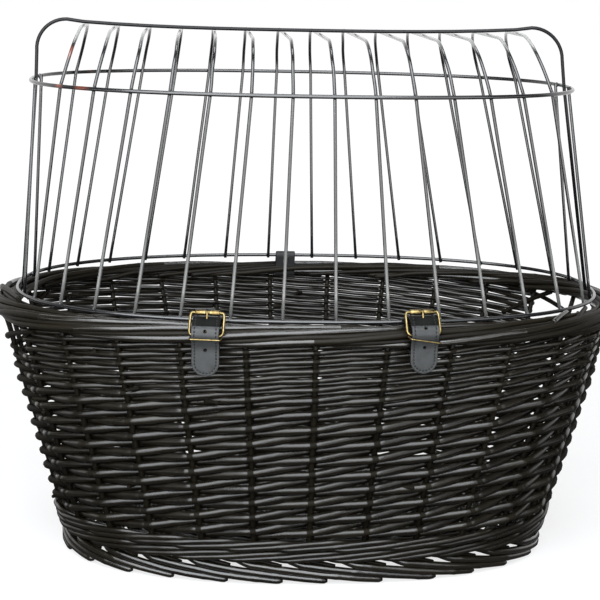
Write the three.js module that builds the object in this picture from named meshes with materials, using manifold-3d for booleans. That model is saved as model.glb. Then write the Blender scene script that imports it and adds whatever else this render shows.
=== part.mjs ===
// A dog's bicycle basket of black lacquered willow with a hinged wire cage and two buckled straps.
// Millimetres, +Z up, +X to the right and -Y to the front, with the origin under the middle of the basket.
import * as THREE from 'three';
import { mergeVertices } from 'three/addons/utils/BufferGeometryUtils.js';
import Module from 'manifold-3d';

const wasm = await Module();
wasm.setup();

// Clearances
const SEAT_GAP = 0.3;          // between pieces that touch on the real basket
const WELD_GAP = 0.35;         // between two wires that are welded together

// Plan of the basket: rounded ovals, half lengths along X and Y, and one squareness for them all
const OVAL_POWER = 2.3;
const FOOT_HALF_X = 227;
const FOOT_HALF_Y = 126;
const RIM_HALF_X = 276;        // to the middle of the rolled border
const RIM_HALF_Y = 165;

// Foot, upsett and base
const FOOT_TALL = 16;
const FOOT_THICK = 16;
const FOOT_ROUND = 3;          // corners of the foot border's section
const FOOT_BELLY = 1.2;
const UPSETT_TALL = 22;
const UPSETT_PROUD = 1.5;
const UPSETT_ROUND = 3;
const BASE_THICK = 10;
const BASE_LIFT = 23;          // the base is woven in above the foot border

// Woven wall: its rods pass before and behind the stakes
const WALL_THICK = 17;
const WALL_LOW_OUT = 3;        // outer face of the wall beyond the foot border
const WALL_TOP_OUT = 9;        // outer face of the wall beyond the border's middle line
const WEAVE_CRESTS = 7;        // one above the other on each stake
const WEAVE_SWING = 5;         // how far each crest stands out from the rods behind it
const STAKES = 27;
const STAKE_FIRST = 0.21;      // the first stake stands this part of a bay from the +X end
const STAKE_CROWD = 0.2;       // how much closer the stakes stand at the two ends
const BAY_STEPS = 2;           // plan points to a bay
const STAKE_RADIUS = 2.4;
const STAKE_CLEAR = 0.3;

// Rolled border on top of the wall
const RIM_MID_Z = 231.25;
const RIM_DROP = 4;            // the border is this much higher in front and lower at the back
const RIM_HALF_WIDE = 13;
const RIM_HALF_TALL = 9.5;
const RIM_POWER = 3;           // squareness of the border's section
const RIM_SIDES = 10;

// Open grips under the border at both ends
const GRIP_HALF_Y = 72;
const GRIP_SHIFT = 16;         // the right grip sits this much to the back, and the left one to the front
const GRIP_TALL = 27;
const GRIP_CORNER = 9;

// Wire cage
const RING_WIRE = 1.7;         // radius of the two ring wires
const RING_STEPS = 66;
const HOOP_WIRE = 1.5;         // radius of the hoops and struts
const RIDGE_WIRE = 1.6;
const HOOPS = 14;
const LOWER_RING_Z = 245;
const RING_INSET_X = 11;       // the lower ring lies this much inside the border's middle line
const RING_INSET_Y = 10;
const UPPER_RING_Z = 431.5;
const CAGE_TAPER_X = 22.5;     // the upper ring is this much smaller than the lower one on each side
const CAGE_TAPER_Y = 3;
const LOWER_HALF_X = RIM_HALF_X - RING_INSET_X;
const LOWER_HALF_Y = RIM_HALF_Y - RING_INSET_Y;
const UPPER_HALF_X = LOWER_HALF_X - CAGE_TAPER_X;
const UPPER_HALF_Y = LOWER_HALF_Y - CAGE_TAPER_Y;
const ROOF_Z = 474.8;          // middle of the hoop wire over the centre
const ROOF_LIFT = 4;           // the end hoops stand this much higher
const FOOT_FAN_INSET = 21;     // the end hoops stand this much inside the lower ring's end
const WAIST_FAN_INSET = 32.5;  // and inside the upper ring's end
const ROOF_FAN_INSET = 16;     // and on the roof this much inside their place at the upper ring
const FOOT_FAN_X = LOWER_HALF_X - FOOT_FAN_INSET;
const WAIST_FAN_X = UPPER_HALF_X - WAIST_FAN_INSET;
const ROOF_FAN_X = WAIST_FAN_X - ROOF_FAN_INSET;
const ROOF_FAN = THREE.MathUtils.degToRad(33);
const WAIST_FAN = THREE.MathUtils.degToRad(30);
const FOOT_FAN = THREE.MathUtils.degToRad(58);
const FOOT_SKEW = -8;          // the middle legs stand this much to the left at the lower ring
const CAGE_LEAN = -10;         // the roof sits this much to the left of the lower ring
const LEG_TIP = 2;             // the legs end this much below the lower ring's middle
const BEND_STEPS = 5;
const WIRE_SIDES = 6;
const ROUND_SIDES = 10;        // of rollers and tongue eyes
const RIDGE_BEND = 28;
const RIDGE_INSET = 2;         // the ridge wire's bends start this much inside the upper ring
const RIDGE_HUMP = 2;          // the ridge wire rises this much before it turns down
const STRUT_TOP_Y = 27;
const STRUT_FOOT_Y = 42;

// Straps and buckles
// x is the place along the border, and heights on a strap are from the middle of the border
const STRAPS = {
  left: { x: -91.5, heelUp: 2.8, tailEndUp: -30.7, holeUp: 8, keeperUp: 1.2, keeperTurn: 0 },
  right: { x: 82.5, heelUp: 5.1, tailEndUp: -27, holeUp: 12, keeperUp: 1.5, keeperTurn: 9 },
};
const LEATHER = 2;
const STRAP_HALF_WIDE = 11.5;
const CHAPE_HALF_WIDE = 9.5;
const TAIL_HOLE_RADIUS = 1.15;
const TAIL_HOLE_PITCH = 16.6;
const TAIL_FREE_HOLES = 2;
const BAR_RADIUS = 1.15;
const BUCKLE_REACH = 20;       // from the heel bar to the roller bar
const BUCKLE_TILT = THREE.MathUtils.degToRad(30);
const EYE_RADIUS = 1.5;        // the fold of the chape round the heel bar
const BUCKLE_HALF_WIDE = 13.95;  // at its widest, to the middle of the wire
const BUCKLE_TOP_HALF = 12.2;
const BUCKLE_FLARE = 5;        // from the roller bar down to the widest place
const BUCKLE_CORNER = 4.15;
const ROLLER_RADIUS = 2.3;
const ROLLER_NECK = 1.85;
const ROLLER_BORE = 1.5;
const ROLLER_HALF_LONG = 10.2;
const ROLLER_NECK_HALF = 1.6;
const TONGUE_RADIUS = 0.9;
const TONGUE_EYE_RADIUS = 2.3;
const TONGUE_HALF_LONG = 1.5;
const TONGUE_LIFT = THREE.MathUtils.degToRad(15);
const KEEPER_WIRE = 0.7;
const KEEPER_CORNER = 1.5;
// Course of the tail behind the roller and over the heel bar, in shares of the room that each needs
const BEHIND_ROLLER = [[1, -1.2], [0.25, -1.06], [-0.8, -1.2], [-1.7, -1.65]];
const OVER_HEEL = [[-0.72, 1.3], [-0.98, 0.6], [-1, 0]];

// Leather hinge at the back
const HINGE_X = -12.6;
const HINGE_HALF_WIDE = 9.7;

const MATERIALS = {
  willow: new THREE.MeshStandardMaterial({ color: 0x17130f, roughness: 0.42, metalness: 0 }),
  wire: new THREE.MeshStandardMaterial({ color: 0x141414, roughness: 0.38, metalness: 0.6 }),
  leather: new THREE.MeshStandardMaterial({ color: 0x1b1b1d, roughness: 0.55, metalness: 0 }),
  brass: new THREE.MeshStandardMaterial({ color: 0xc9a45c, roughness: 0.25, metalness: 1 }),
};

const basket = new THREE.Group();

// Leave only positions on a geometry and join the vertices that coincide
function weld(geometry) {
  geometry.deleteAttribute('normal');
  geometry.deleteAttribute('uv');
  return mergeVertices(geometry, 1e-4);
}

function addPiece(name, geometry, material, group = basket) {
  const clean = weld(geometry);
  clean.computeVertexNormals();
  const mesh = new THREE.Mesh(clean, MATERIALS[material]);
  mesh.name = name;
  group.add(mesh);
}

function toSolid(geometry) {
  const clean = weld(geometry);
  return new wasm.Manifold(new wasm.Mesh({
    numProp: 3,
    vertProperties: new Float32Array(clean.attributes.position.array),
    triVerts: new Uint32Array(clean.index.array),
  }));
}

function toGeometry(solid) {
  const mesh = solid.getMesh();
  const geometry = new THREE.BufferGeometry();
  geometry.setAttribute('position', new THREE.BufferAttribute(mesh.vertProperties, 3));
  geometry.setIndex(new THREE.BufferAttribute(mesh.triVerts, 1));
  return geometry;
}

function cut(geometry, tools) {
  return toGeometry(tools.reduce((solid, tool) => solid.subtract(toSolid(tool)), toSolid(geometry)));
}

// A ring-like solid: a grid of points closed both along the ring and round its section
function closedBand(around, across, pointAt) {
  const positions = [];
  const index = [];
  for (let i = 0; i < around; i++) {
    for (let j = 0; j < across; j++) {
      positions.push(...pointAt(i, j).toArray());
      const a = i * across + j;
      const b = ((i + 1) % around) * across + j;
      const c = ((i + 1) % around) * across + ((j + 1) % across);
      const d = i * across + ((j + 1) % across);
      index.push(a, b, c, a, c, d);
    }
  }
  const geometry = new THREE.BufferGeometry();
  geometry.setAttribute('position', new THREE.Float32BufferAttribute(positions, 3));
  geometry.setIndex(index);
  return geometry;
}

// A wire through given stations: one straight step between two stations, mitred at each
class StationCurve extends THREE.Curve {
  constructor(stations) {
    super();
    this.stations = stations;
  }
  getUtoTmapping(u) {
    return u;
  }
  getPoint(t, target = new THREE.Vector3()) {
    const last = this.stations.length - 1;
    const place = THREE.MathUtils.clamp(t, 0, 1) * last;
    const first = Math.min(Math.floor(place), last - 1);
    return target.lerpVectors(this.stations[first], this.stations[first + 1], place - first);
  }
  getTangent(t, target = new THREE.Vector3()) {
    const last = this.stations.length - 1;
    const here = Math.round(t * last);
    const heading = (from, to) => this.stations[to].clone().sub(this.stations[from]).normalize();
    target.set(0, 0, 0);
    if (here > 0) target.add(heading(here - 1, here));
    if (here < last) target.add(heading(here, here + 1));
    return target.normalize();
  }
}

function roundSection(radius, sides) {
  const points = [];
  for (let k = 0; k < sides; k++) {
    const angle = (2 * Math.PI * (k + 0.5)) / sides;
    points.push(new THREE.Vector2(radius * Math.cos(angle), radius * Math.sin(angle)));
  }
  return new THREE.Shape(points);
}

function wireGeometry(stations, radius, sides = WIRE_SIDES) {
  return new THREE.ExtrudeGeometry(roundSection(radius, sides), {
    steps: stations.length - 1,
    bevelEnabled: false,
    extrudePath: new StationCurve(stations),
  });
}

// A flat outline in the YZ plane made into a slab that is centred on x
function slabAcrossX(shape, x, halfWide, curveSegments = 6) {
  const options = { depth: 2 * halfWide, bevelEnabled: false, curveSegments };
  const geometry = new THREE.ExtrudeGeometry(shape, options);
  const turn = new THREE.Matrix4().makeBasis(
    new THREE.Vector3(0, 1, 0), new THREE.Vector3(0, 0, 1), new THREE.Vector3(1, 0, 0));
  geometry.applyMatrix4(turn);
  return geometry.translate(x - halfWide, 0, 0);
}

function boxGeometry(low, high) {
  const size = high.clone().sub(low);
  const middle = high.clone().add(low).multiplyScalar(0.5);
  return new THREE.BoxGeometry(size.x, size.y, size.z).translate(middle.x, middle.y, middle.z);
}

// Ovals
const signedPower = (value, power) => Math.sign(value) * Math.abs(value) ** power;

function ovalPoint(halfX, halfY, angle) {
  return {
    x: halfX * signedPower(Math.cos(angle), 2 / OVAL_POWER),
    y: halfY * signedPower(Math.sin(angle), 2 / OVAL_POWER),
  };
}

function ovalNormal(halfX, halfY, angle) {
  const x = signedPower(Math.cos(angle), 2 - 2 / OVAL_POWER) / halfX;
  const y = signedPower(Math.sin(angle), 2 - 2 / OVAL_POWER) / halfY;
  return new THREE.Vector3(x, y, 0).normalize();
}

// Half depth of an oval at a distance x along it
const ovalReach = (halfX, halfY, x) => halfY * (1 - Math.abs(x / halfX) ** OVAL_POWER) ** (1 / OVAL_POWER);

// Angles that part the border's oval into like stretches, closer together at its two ends
function spreadAngles(count, first) {
  const [halfX, halfY] = [RIM_HALF_X, RIM_HALF_Y];
  const fine = 3600;
  const lengths = [0];
  let before = ovalPoint(halfX, halfY, 0);
  for (let k = 1; k <= fine; k++) {
    const here = ovalPoint(halfX, halfY, (2 * Math.PI * k) / fine);
    lengths.push(lengths[k - 1] + Math.hypot(here.x - before.x, here.y - before.y));
    before = here;
  }
  const shares = lengths.map((length, k) => (
    THREE.MathUtils.lerp(length / lengths[fine], k / fine, STAKE_CROWD)));
  const angles = [];
  let k = 0;
  for (let n = 0; n < count; n++) {
    const wanted = (n + first) / count;
    while (shares[k + 1] < wanted) k++;
    const part = (wanted - shares[k]) / (shares[k + 1] - shares[k]);
    angles.push((2 * Math.PI * (k + part)) / fine);
  }
  return angles;
}

// The plan has a point at each stake and points between them
const STAKE_ANGLES = spreadAngles(STAKES, STAKE_FIRST);
const PLAN_ANGLES = spreadAngles(STAKES * BAY_STEPS, STAKE_FIRST * BAY_STEPS);
const RING_ANGLES = spreadAngles(RING_STEPS, 0);

// An oval ring whose section is given as points (outward, z) from one oval
function ovalBand(halfX, halfY, section, shear = () => 0, angles = PLAN_ANGLES) {
  return closedBand(angles.length, section.length, (i, j) => {
    const angle = angles[i];
    const place = ovalPoint(halfX, halfY, angle);
    const out = ovalNormal(halfX, halfY, angle);
    const [outward, z] = section[j];
    return new THREE.Vector3(place.x + out.x * outward, place.y + out.y * outward, z + shear(place.y, z));
  });
}

function roundRing(halfX, halfY, z, radius, offsetX = 0) {
  const section = [];
  for (let k = 0; k < WIRE_SIDES; k++) {
    const angle = (2 * Math.PI * (k + 0.5)) / WIRE_SIDES;
    section.push([radius * Math.cos(angle), z + radius * Math.sin(angle)]);
  }
  return ovalBand(halfX, halfY, section, () => 0, RING_ANGLES).translate(offsetX, 0, 0);
}

// Border heights: the whole border slopes down a little to the back
const rimMidZ = (y) => RIM_MID_Z - (RIM_DROP * y) / RIM_HALF_Y;
const wallTopZ = (y) => rimMidZ(y) - RIM_HALF_TALL - SEAT_GAP;

// Outline of the border's section, from its middle, or of what wraps it at a distance
function rimSection(grow) {
  const points = [];
  for (let k = 0; k < RIM_SIDES; k++) {
    const angle = (2 * Math.PI * (k + 0.5)) / RIM_SIDES;
    points.push(new THREE.Vector2(
      (RIM_HALF_WIDE + grow) * signedPower(Math.cos(angle), 2 / RIM_POWER),
      (RIM_HALF_TALL + grow) * signedPower(Math.sin(angle), 2 / RIM_POWER)));
  }
  return points;
}

// The wall leans out evenly from the foot to the border
const WALL_LOW_Z = FOOT_TALL + SEAT_GAP;
const WALL_TOP_MID_Z = RIM_MID_Z - RIM_HALF_TALL - SEAT_GAP;
const wallShare = (z) => (z - WALL_LOW_Z) / (WALL_TOP_MID_Z - WALL_LOW_Z);
const wallOut = (foot, rim, z) => (
  THREE.MathUtils.lerp(foot + WALL_LOW_OUT, rim + WALL_TOP_OUT, wallShare(z)));
const wallHalfX = (z) => wallOut(FOOT_HALF_X, RIM_HALF_X, z);
const wallHalfY = (z) => wallOut(FOOT_HALF_Y, RIM_HALF_Y, z);

function wallPoint(angle, inset, z) {
  const place = ovalPoint(wallHalfX(z), wallHalfY(z), angle);
  const out = ovalNormal(wallHalfX(z), wallHalfY(z), angle);
  return new THREE.Vector3(place.x - out.x * inset, place.y - out.y * inset, z);
}

// A band of the wall as a list of corners (inset from the outer face, z, and swing outward at the stakes)
function wallBand(corners, shear) {
  return closedBand(PLAN_ANGLES.length, corners.length, (i, j) => {
    const [inset, z, swing] = corners[j];
    const atStake = i % BAY_STEPS === 0;
    const point = wallPoint(PLAN_ANGLES[i], atStake ? inset - swing : inset, z);
    return point.setZ(z + shear(point.y, z));
  });
}

// Stakes stand in the middle of the wall
const stakePoint = (angle, z) => wallPoint(angle, WALL_THICK / 2, z);

function stakeEnds(angle, below, above) {
  const low = stakePoint(angle, WALL_LOW_Z);
  const high = stakePoint(angle, WALL_TOP_MID_Z);
  const rise = high.clone().sub(low);
  const topZ = wallTopZ(high.y);
  high.copy(low).addScaledVector(rise, (topZ - low.z) / rise.z);
  const step = rise.divideScalar(rise.z);
  return [low.addScaledVector(step, -below), high.addScaledVector(step, above)];
}

// A stake or its bore, cut level at both ends
function stakeGeometry(angle, radius, below, above) {
  const [low, high] = stakeEnds(angle, below, above);
  const geometry = new THREE.CylinderGeometry(radius, radius, high.z - low.z, WIRE_SIDES);
  geometry.rotateX(Math.PI / 2).translate(0, 0, (high.z + low.z) / 2);
  const position = geometry.attributes.position;
  for (let k = 0; k < position.count; k++) {
    const share = (position.getZ(k) - low.z) / (high.z - low.z);
    const middle = low.clone().lerp(high, share);
    position.setXY(k, position.getX(k) + middle.x, position.getY(k) + middle.y);
  }
  return geometry;
}

// The place nearest to x where a strap of this half width passes clear of the stakes, in front or at the back
function clearOfStakes(x, halfWide, face) {
  const room = halfWide + STAKE_RADIUS + STAKE_CLEAR;
  const tops = STAKE_ANGLES.map((angle) => stakePoint(angle, WALL_TOP_MID_Z)).filter((p) => p.y * face > 0);
  const nearest = tops.reduce((a, b) => (Math.abs(a.x - x) < Math.abs(b.x - x) ? a : b));
  const away = x - nearest.x;
  return Math.abs(away) < room ? nearest.x + Math.sign(away) * room : x;
}

// A strap's own frame: its origin in the middle of the border, -Y outward and square to the border
function strapFrame(strap) {
  const x = clearOfStakes(strap.x, CHAPE_HALF_WIDE, -1);
  const rimY = -ovalReach(RIM_HALF_X, RIM_HALF_Y, x);
  const ringY = -ovalReach(LOWER_HALF_X, LOWER_HALF_Y, x);
  const share = Math.abs(x / RIM_HALF_X) ** (OVAL_POWER - 1) * (RIM_HALF_Y / RIM_HALF_X);
  const slope = Math.sign(x) * share * Math.abs(rimY / RIM_HALF_Y) ** (1 - OVAL_POWER);
  const group = new THREE.Group();
  group.position.set(x, rimY, rimMidZ(rimY));
  group.rotation.z = Math.atan(slope);
  group.updateMatrix();
  return {
    ...strap,
    group,
    ringIn: (ringY - rimY) * Math.cos(group.rotation.z),
    ringUp: LOWER_RING_Z - rimMidZ(rimY),
    rollerUp: strap.heelUp + BUCKLE_REACH * Math.cos(BUCKLE_TILT),
  };
}

const HINGE_PLACE = clearOfStakes(HINGE_X, HINGE_HALF_WIDE, 1);
const STRAP_FRAMES = { left: strapFrame(STRAPS.left), right: strapFrame(STRAPS.right) };

// Places in that frame of what a strap and its buckle lie on
const rimFront = -RIM_HALF_WIDE;
const rimInner = RIM_HALF_WIDE;
const tuckTop = -RIM_HALF_TALL - SEAT_GAP;
const chapeBack = rimFront - 2 * KEEPER_WIRE - 2 * SEAT_GAP;
const heelY = chapeBack - LEATHER - EYE_RADIUS;
const chapeFront = heelY - EYE_RADIUS - LEATHER;
const rollerY = heelY + BUCKLE_REACH * Math.sin(BUCKLE_TILT);

function makeWillow() {
  const bores = STAKE_ANGLES.map((angle) => stakeGeometry(angle, STAKE_RADIUS + STAKE_CLEAR, 2, 2));
  makeFoot();
  makeUpsett(bores);
  makeBase();
  makeSide(bores);
  makeRim();
}

function makeFoot() {
  addPiece('foot_border', ovalBand(FOOT_HALF_X, FOOT_HALF_Y, [
    [-FOOT_THICK, 0], [-FOOT_ROUND, 0], [0, FOOT_ROUND], [FOOT_BELLY, FOOT_TALL / 2],
    [0, FOOT_TALL - FOOT_ROUND], [-FOOT_ROUND, FOOT_TALL], [-FOOT_THICK, FOOT_TALL],
  ]), 'willow');
}

function makeUpsett(bores) {
  const top = WALL_LOW_Z + UPSETT_TALL;
  const upsett = wallBand([
    [WALL_THICK + UPSETT_PROUD, WALL_LOW_Z, 0], [0, WALL_LOW_Z, 0],
    [-UPSETT_PROUD, WALL_LOW_Z + UPSETT_ROUND, 0], [-UPSETT_PROUD, top - UPSETT_ROUND, 0],
    [0, top, 0], [WALL_THICK, top, 0],
  ], () => 0);
  addPiece('upsett_wale', cut(upsett, bores), 'willow');
}

// The base is held all round by the upsett
function makeBase() {
  const upsettShare = (BASE_LIFT - WALL_LOW_Z) / UPSETT_TALL;
  const inset = WALL_THICK + UPSETT_PROUD * (1 - upsettShare) + SEAT_GAP;
  const outline = PLAN_ANGLES.map((angle) => wallPoint(angle, inset, BASE_LIFT));
  const shape = new THREE.Shape(outline.map((p) => new THREE.Vector2(p.x, p.y)));
  const base = new THREE.ExtrudeGeometry(shape, { depth: BASE_THICK, bevelEnabled: false });
  addPiece('base_weave', base.translate(0, 0, BASE_LIFT), 'willow');
}

// Each rod of the wall passes before one stake and behind the next, one row higher at each, so the rods'
// crests stand at the same heights before every stake
function makeSide(bores) {
  const low = WALL_LOW_Z + UPSETT_TALL + SEAT_GAP;
  const slope = (y, z) => ((wallTopZ(y) - WALL_TOP_MID_Z) * (z - low)) / (WALL_TOP_MID_Z - low);
  const face = [];
  const levels = 2 * WEAVE_CRESTS;
  for (let k = 0; k <= levels; k++) {
    const z = THREE.MathUtils.lerp(low, WALL_TOP_MID_Z, k / levels);
    face.push([WEAVE_SWING, z, k % 2 === 0 ? 0 : WEAVE_SWING]);
  }
  const side = wallBand([[WALL_THICK, low, 0], ...face, [WALL_THICK, WALL_TOP_MID_Z, 0]], slope);
  addPiece('side_weave', cut(side, [...bores, ...gripTools(), ...strapSlots()]), 'willow');
}

function makeRim() {
  const section = rimSection(0).map((p) => [p.x, p.y + RIM_MID_Z]);
  const rim = ovalBand(RIM_HALF_X, RIM_HALF_Y, section, (y) => rimMidZ(y) - RIM_MID_Z);
  const stakes = STAKE_ANGLES.map((angle) => toSolid(stakeGeometry(angle, STAKE_RADIUS, 0, RIM_HALF_TALL)));
  const joined = stakes.reduce((solid, stake) => solid.add(stake), toSolid(rim));
  addPiece('rim_border_with_stakes', toGeometry(joined), 'willow');
}

// The two open grips: round-cornered notches in the top of the wall
function gripTools() {
  const lowZ = WALL_TOP_MID_Z - GRIP_TALL;
  const highZ = RIM_MID_Z;
  const shape = new THREE.Shape();
  shape.moveTo(-GRIP_HALF_Y, highZ);
  shape.lineTo(-GRIP_HALF_Y, lowZ + GRIP_CORNER);
  shape.quadraticCurveTo(-GRIP_HALF_Y, lowZ, -GRIP_HALF_Y + GRIP_CORNER, lowZ);
  shape.lineTo(GRIP_HALF_Y - GRIP_CORNER, lowZ);
  shape.quadraticCurveTo(GRIP_HALF_Y, lowZ, GRIP_HALF_Y, lowZ + GRIP_CORNER);
  shape.lineTo(GRIP_HALF_Y, highZ);
  const reach = RIM_HALF_X / 4;
  const grip = (side) => slabAcrossX(shape, side * RIM_HALF_X, reach, 3).translate(0, side * GRIP_SHIFT, 0);
  return [grip(-1), grip(1)];
}

// Low slots in the top of the wall, where the straps and the hinge pass under the border
function strapSlots() {
  const halfLong = 2 * RIM_HALF_WIDE;
  const slot = (halfWide) => boxGeometry(
    new THREE.Vector3(-halfWide - SEAT_GAP, -halfLong, tuckTop - LEATHER - 2 * SEAT_GAP),
    new THREE.Vector3(halfWide + SEAT_GAP, halfLong, 0));
  return [
    slot(CHAPE_HALF_WIDE).applyMatrix4(STRAP_FRAMES.left.group.matrix),
    slot(CHAPE_HALF_WIDE).applyMatrix4(STRAP_FRAMES.right.group.matrix),
    slot(HINGE_HALF_WIDE).translate(HINGE_PLACE, RIM_HALF_Y, rimMidZ(RIM_HALF_Y)),
  ];
}

// Cage
const leanX = (z) => (CAGE_LEAN * (z - LOWER_RING_Z)) / (ROOF_Z - LOWER_RING_Z);
const LEG_INSET = RING_WIRE + HOOP_WIRE + WELD_GAP;

// Spread of the hoops at one height: even turns of a fan, closer together towards the ends
const fanX = (k, reach, fan) => (reach * Math.sin(fan * ((2 * k) / (HOOPS - 1) - 1))) / Math.sin(fan);
const roofZ = (x) => ROOF_Z + ROOF_LIFT * Math.abs(x / ROOF_FAN_X) ** 3;

function hoopStations(k) {
  const evenX = fanX(k, FOOT_FAN_X, FOOT_FAN);
  const footX = evenX + FOOT_SKEW * (1 - (evenX / FOOT_FAN_X) ** 2);
  const waistX = fanX(k, WAIST_FAN_X, WAIST_FAN);
  const crownX = fanX(k, ROOF_FAN_X, ROOF_FAN);
  const footY = ovalReach(LOWER_HALF_X - LEG_INSET, LOWER_HALF_Y - LEG_INSET, footX);
  const waistY = ovalReach(UPPER_HALF_X - LEG_INSET, UPPER_HALF_Y - LEG_INSET, waistX);
  const crownZ = roofZ(crownX);
  const bend = crownZ - UPPER_RING_Z;
  const front = [];
  const slope = (LOWER_RING_Z - LEG_TIP - UPPER_RING_Z) / (LOWER_RING_Z - UPPER_RING_Z);
  const tipX = THREE.MathUtils.lerp(waistX + leanX(UPPER_RING_Z), footX, slope);
  const tipY = THREE.MathUtils.lerp(waistY, footY, slope);
  front.push(new THREE.Vector3(tipX, -tipY, LOWER_RING_Z - LEG_TIP));
  for (let n = 0; n <= BEND_STEPS; n++) {
    const turn = (Math.PI / 2) * (n / BEND_STEPS);
    const rise = Math.sin(turn);
    const z = UPPER_RING_Z + bend * rise;
    const x = THREE.MathUtils.lerp(waistX, crownX, rise) + leanX(z);
    front.push(new THREE.Vector3(x, -(waistY - bend * (1 - Math.cos(turn))), z));
  }
  const back = front.map((p) => new THREE.Vector3(p.x, -p.y, p.z)).reverse();
  return [...front, ...back];
}

// The long wire that runs end to end over the hoops and down both ends
function ridgeStations() {
  const over = HOOP_WIRE + RIDGE_WIRE + WELD_GAP;
  const inset = RING_WIRE + RIDGE_WIRE + WELD_GAP;
  const stations = [];
  const endX = UPPER_HALF_X - inset;
  const topZ = roofZ(ROOF_FAN_X) + over + RIDGE_HUMP;
  [-1, 1].forEach((side) => {
    const run = [];
    run.push(new THREE.Vector3(side * (LOWER_HALF_X - inset), 0, LOWER_RING_Z - LEG_TIP));
    run.push(new THREE.Vector3(side * endX, 0, UPPER_RING_Z));
    for (let n = 0; n <= BEND_STEPS; n++) {
      const turn = (Math.PI / 2) * (n / BEND_STEPS);
      const x = endX - RIDGE_INSET - RIDGE_BEND * (1 - Math.cos(turn));
      run.push(new THREE.Vector3(side * x, 0, topZ - RIDGE_BEND * (1 - Math.sin(turn))));
    }
    run.forEach((p) => p.setX(p.x + leanX(p.z)));
    stations.push(side < 0 ? run : run.reverse());
  });
  const roof = [];
  for (let k = 0; k < HOOPS; k++) {
    const x = fanX(k, ROOF_FAN_X, ROOF_FAN);
    roof.push(new THREE.Vector3(x + leanX(roofZ(x)), 0, roofZ(x) + over));
  }
  return [...stations[0], ...roof, ...stations[1]];
}

// A short wire between the rings beside the ridge wire's leg
function strutStations(side, face) {
  const onOval = (halfX, halfY, y) => halfX * (1 - Math.abs(y / halfY) ** OVAL_POWER) ** (1 / OVAL_POWER);
  const topX = onOval(UPPER_HALF_X - LEG_INSET, UPPER_HALF_Y - LEG_INSET, STRUT_TOP_Y);
  const footX = onOval(LOWER_HALF_X - LEG_INSET, LOWER_HALF_Y - LEG_INSET, STRUT_FOOT_Y);
  const top = new THREE.Vector3(side * topX + leanX(UPPER_RING_Z), face * STRUT_TOP_Y, UPPER_RING_Z);
  const foot = new THREE.Vector3(side * footX, face * STRUT_FOOT_Y, LOWER_RING_Z);
  const along = top.clone().sub(foot).normalize();
  return [foot.addScaledVector(along, -LEG_TIP), top.addScaledVector(along, LEG_TIP)];
}

function makeCage() {
  addPiece('cage_lower_ring', roundRing(LOWER_HALF_X, LOWER_HALF_Y, LOWER_RING_Z, RING_WIRE), 'wire');
  addPiece('cage_upper_ring',
    roundRing(UPPER_HALF_X, UPPER_HALF_Y, UPPER_RING_Z, RING_WIRE, leanX(UPPER_RING_Z)), 'wire');
  for (let k = 0; k < HOOPS; k++) {
    const name = `cage_hoop_${String(k + 1).padStart(2, '0')}`;
    addPiece(name, wireGeometry(hoopStations(k), HOOP_WIRE), 'wire');
  }
  addPiece('cage_ridge_wire', wireGeometry(ridgeStations(), RIDGE_WIRE), 'wire');
  for (const [sideName, side] of [['left', -1], ['right', 1]]) {
    for (const [faceName, face] of [['front', -1], ['back', 1]]) {
      const strut = wireGeometry(strutStations(side, face), HOOP_WIRE);
      addPiece(`cage_strut_${sideName}_${faceName}`, strut, 'wire');
    }
  }
}

// Strap outlines, drawn in the YZ plane
const v2 = (y, z) => new THREE.Vector2(y, z);

// A strip of leather of even thickness along a middle line
function stripShape(middle, thick) {
  const left = [];
  const right = [];
  middle.forEach((p, k) => {
    const before = middle[Math.max(k - 1, 0)];
    const after = middle[Math.min(k + 1, middle.length - 1)];
    const along = after.clone().sub(before).normalize();
    const side = v2(-along.y, along.x).multiplyScalar(thick / 2);
    left.push(p.clone().add(side));
    right.unshift(p.clone().sub(side));
  });
  return new THREE.Shape([...left, ...right]);
}

// Middle line of the tail: up inside the border, over the lower ring, behind the roller, over the heel, down
function tailMiddle({ ringIn, ringUp, heelUp, rollerUp, tailEndUp }) {
  const half = LEATHER / 2;
  const overRing = RING_WIRE + SEAT_GAP + half;
  const behindRoller = ROLLER_RADIUS + 2 * SEAT_GAP + half;
  const overHeel = EYE_RADIUS + LEATHER + SEAT_GAP + half;
  const inside = rimInner + SEAT_GAP + half;
  const hang = chapeBack - 2 * LEATHER - SEAT_GAP - half;
  const line = [v2(inside, tuckTop + SEAT_GAP), v2(inside, ringUp - RING_WIRE)];
  const ringSteps = 4;
  for (let n = 1; n <= ringSteps; n++) {
    const turn = (Math.PI / 2) * (n / ringSteps);
    line.push(v2(ringIn + overRing * Math.cos(turn), ringUp + overRing * Math.sin(turn)));
  }
  BEHIND_ROLLER.forEach(([y, z]) => line.push(v2(rollerY + behindRoller * y, rollerUp + behindRoller * z)));
  OVER_HEEL.forEach(([y, z]) => line.push(v2(heelY + overHeel * y, heelUp + overHeel * z)));
  line.push(v2(hang, heelUp - 2 * overHeel));
  line.push(v2(hang, tailEndUp));
  return line;
}

// The tongue's tip rests on the neck in the middle of the roller
function tongueTip(strap) {
  const stand = ROLLER_NECK + SEAT_GAP + TONGUE_RADIUS;
  return v2(rollerY - stand * Math.cos(BUCKLE_TILT), strap.rollerUp + stand * Math.sin(BUCKLE_TILT));
}

function makeStrap(side) {
  const strap = STRAP_FRAMES[side];
  basket.add(strap.group);
  makeTail(`strap_${side}_tail`, strap);
  makeChape(`strap_${side}_chape`, strap);
  makeBuckle(side, strap);
}

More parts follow.
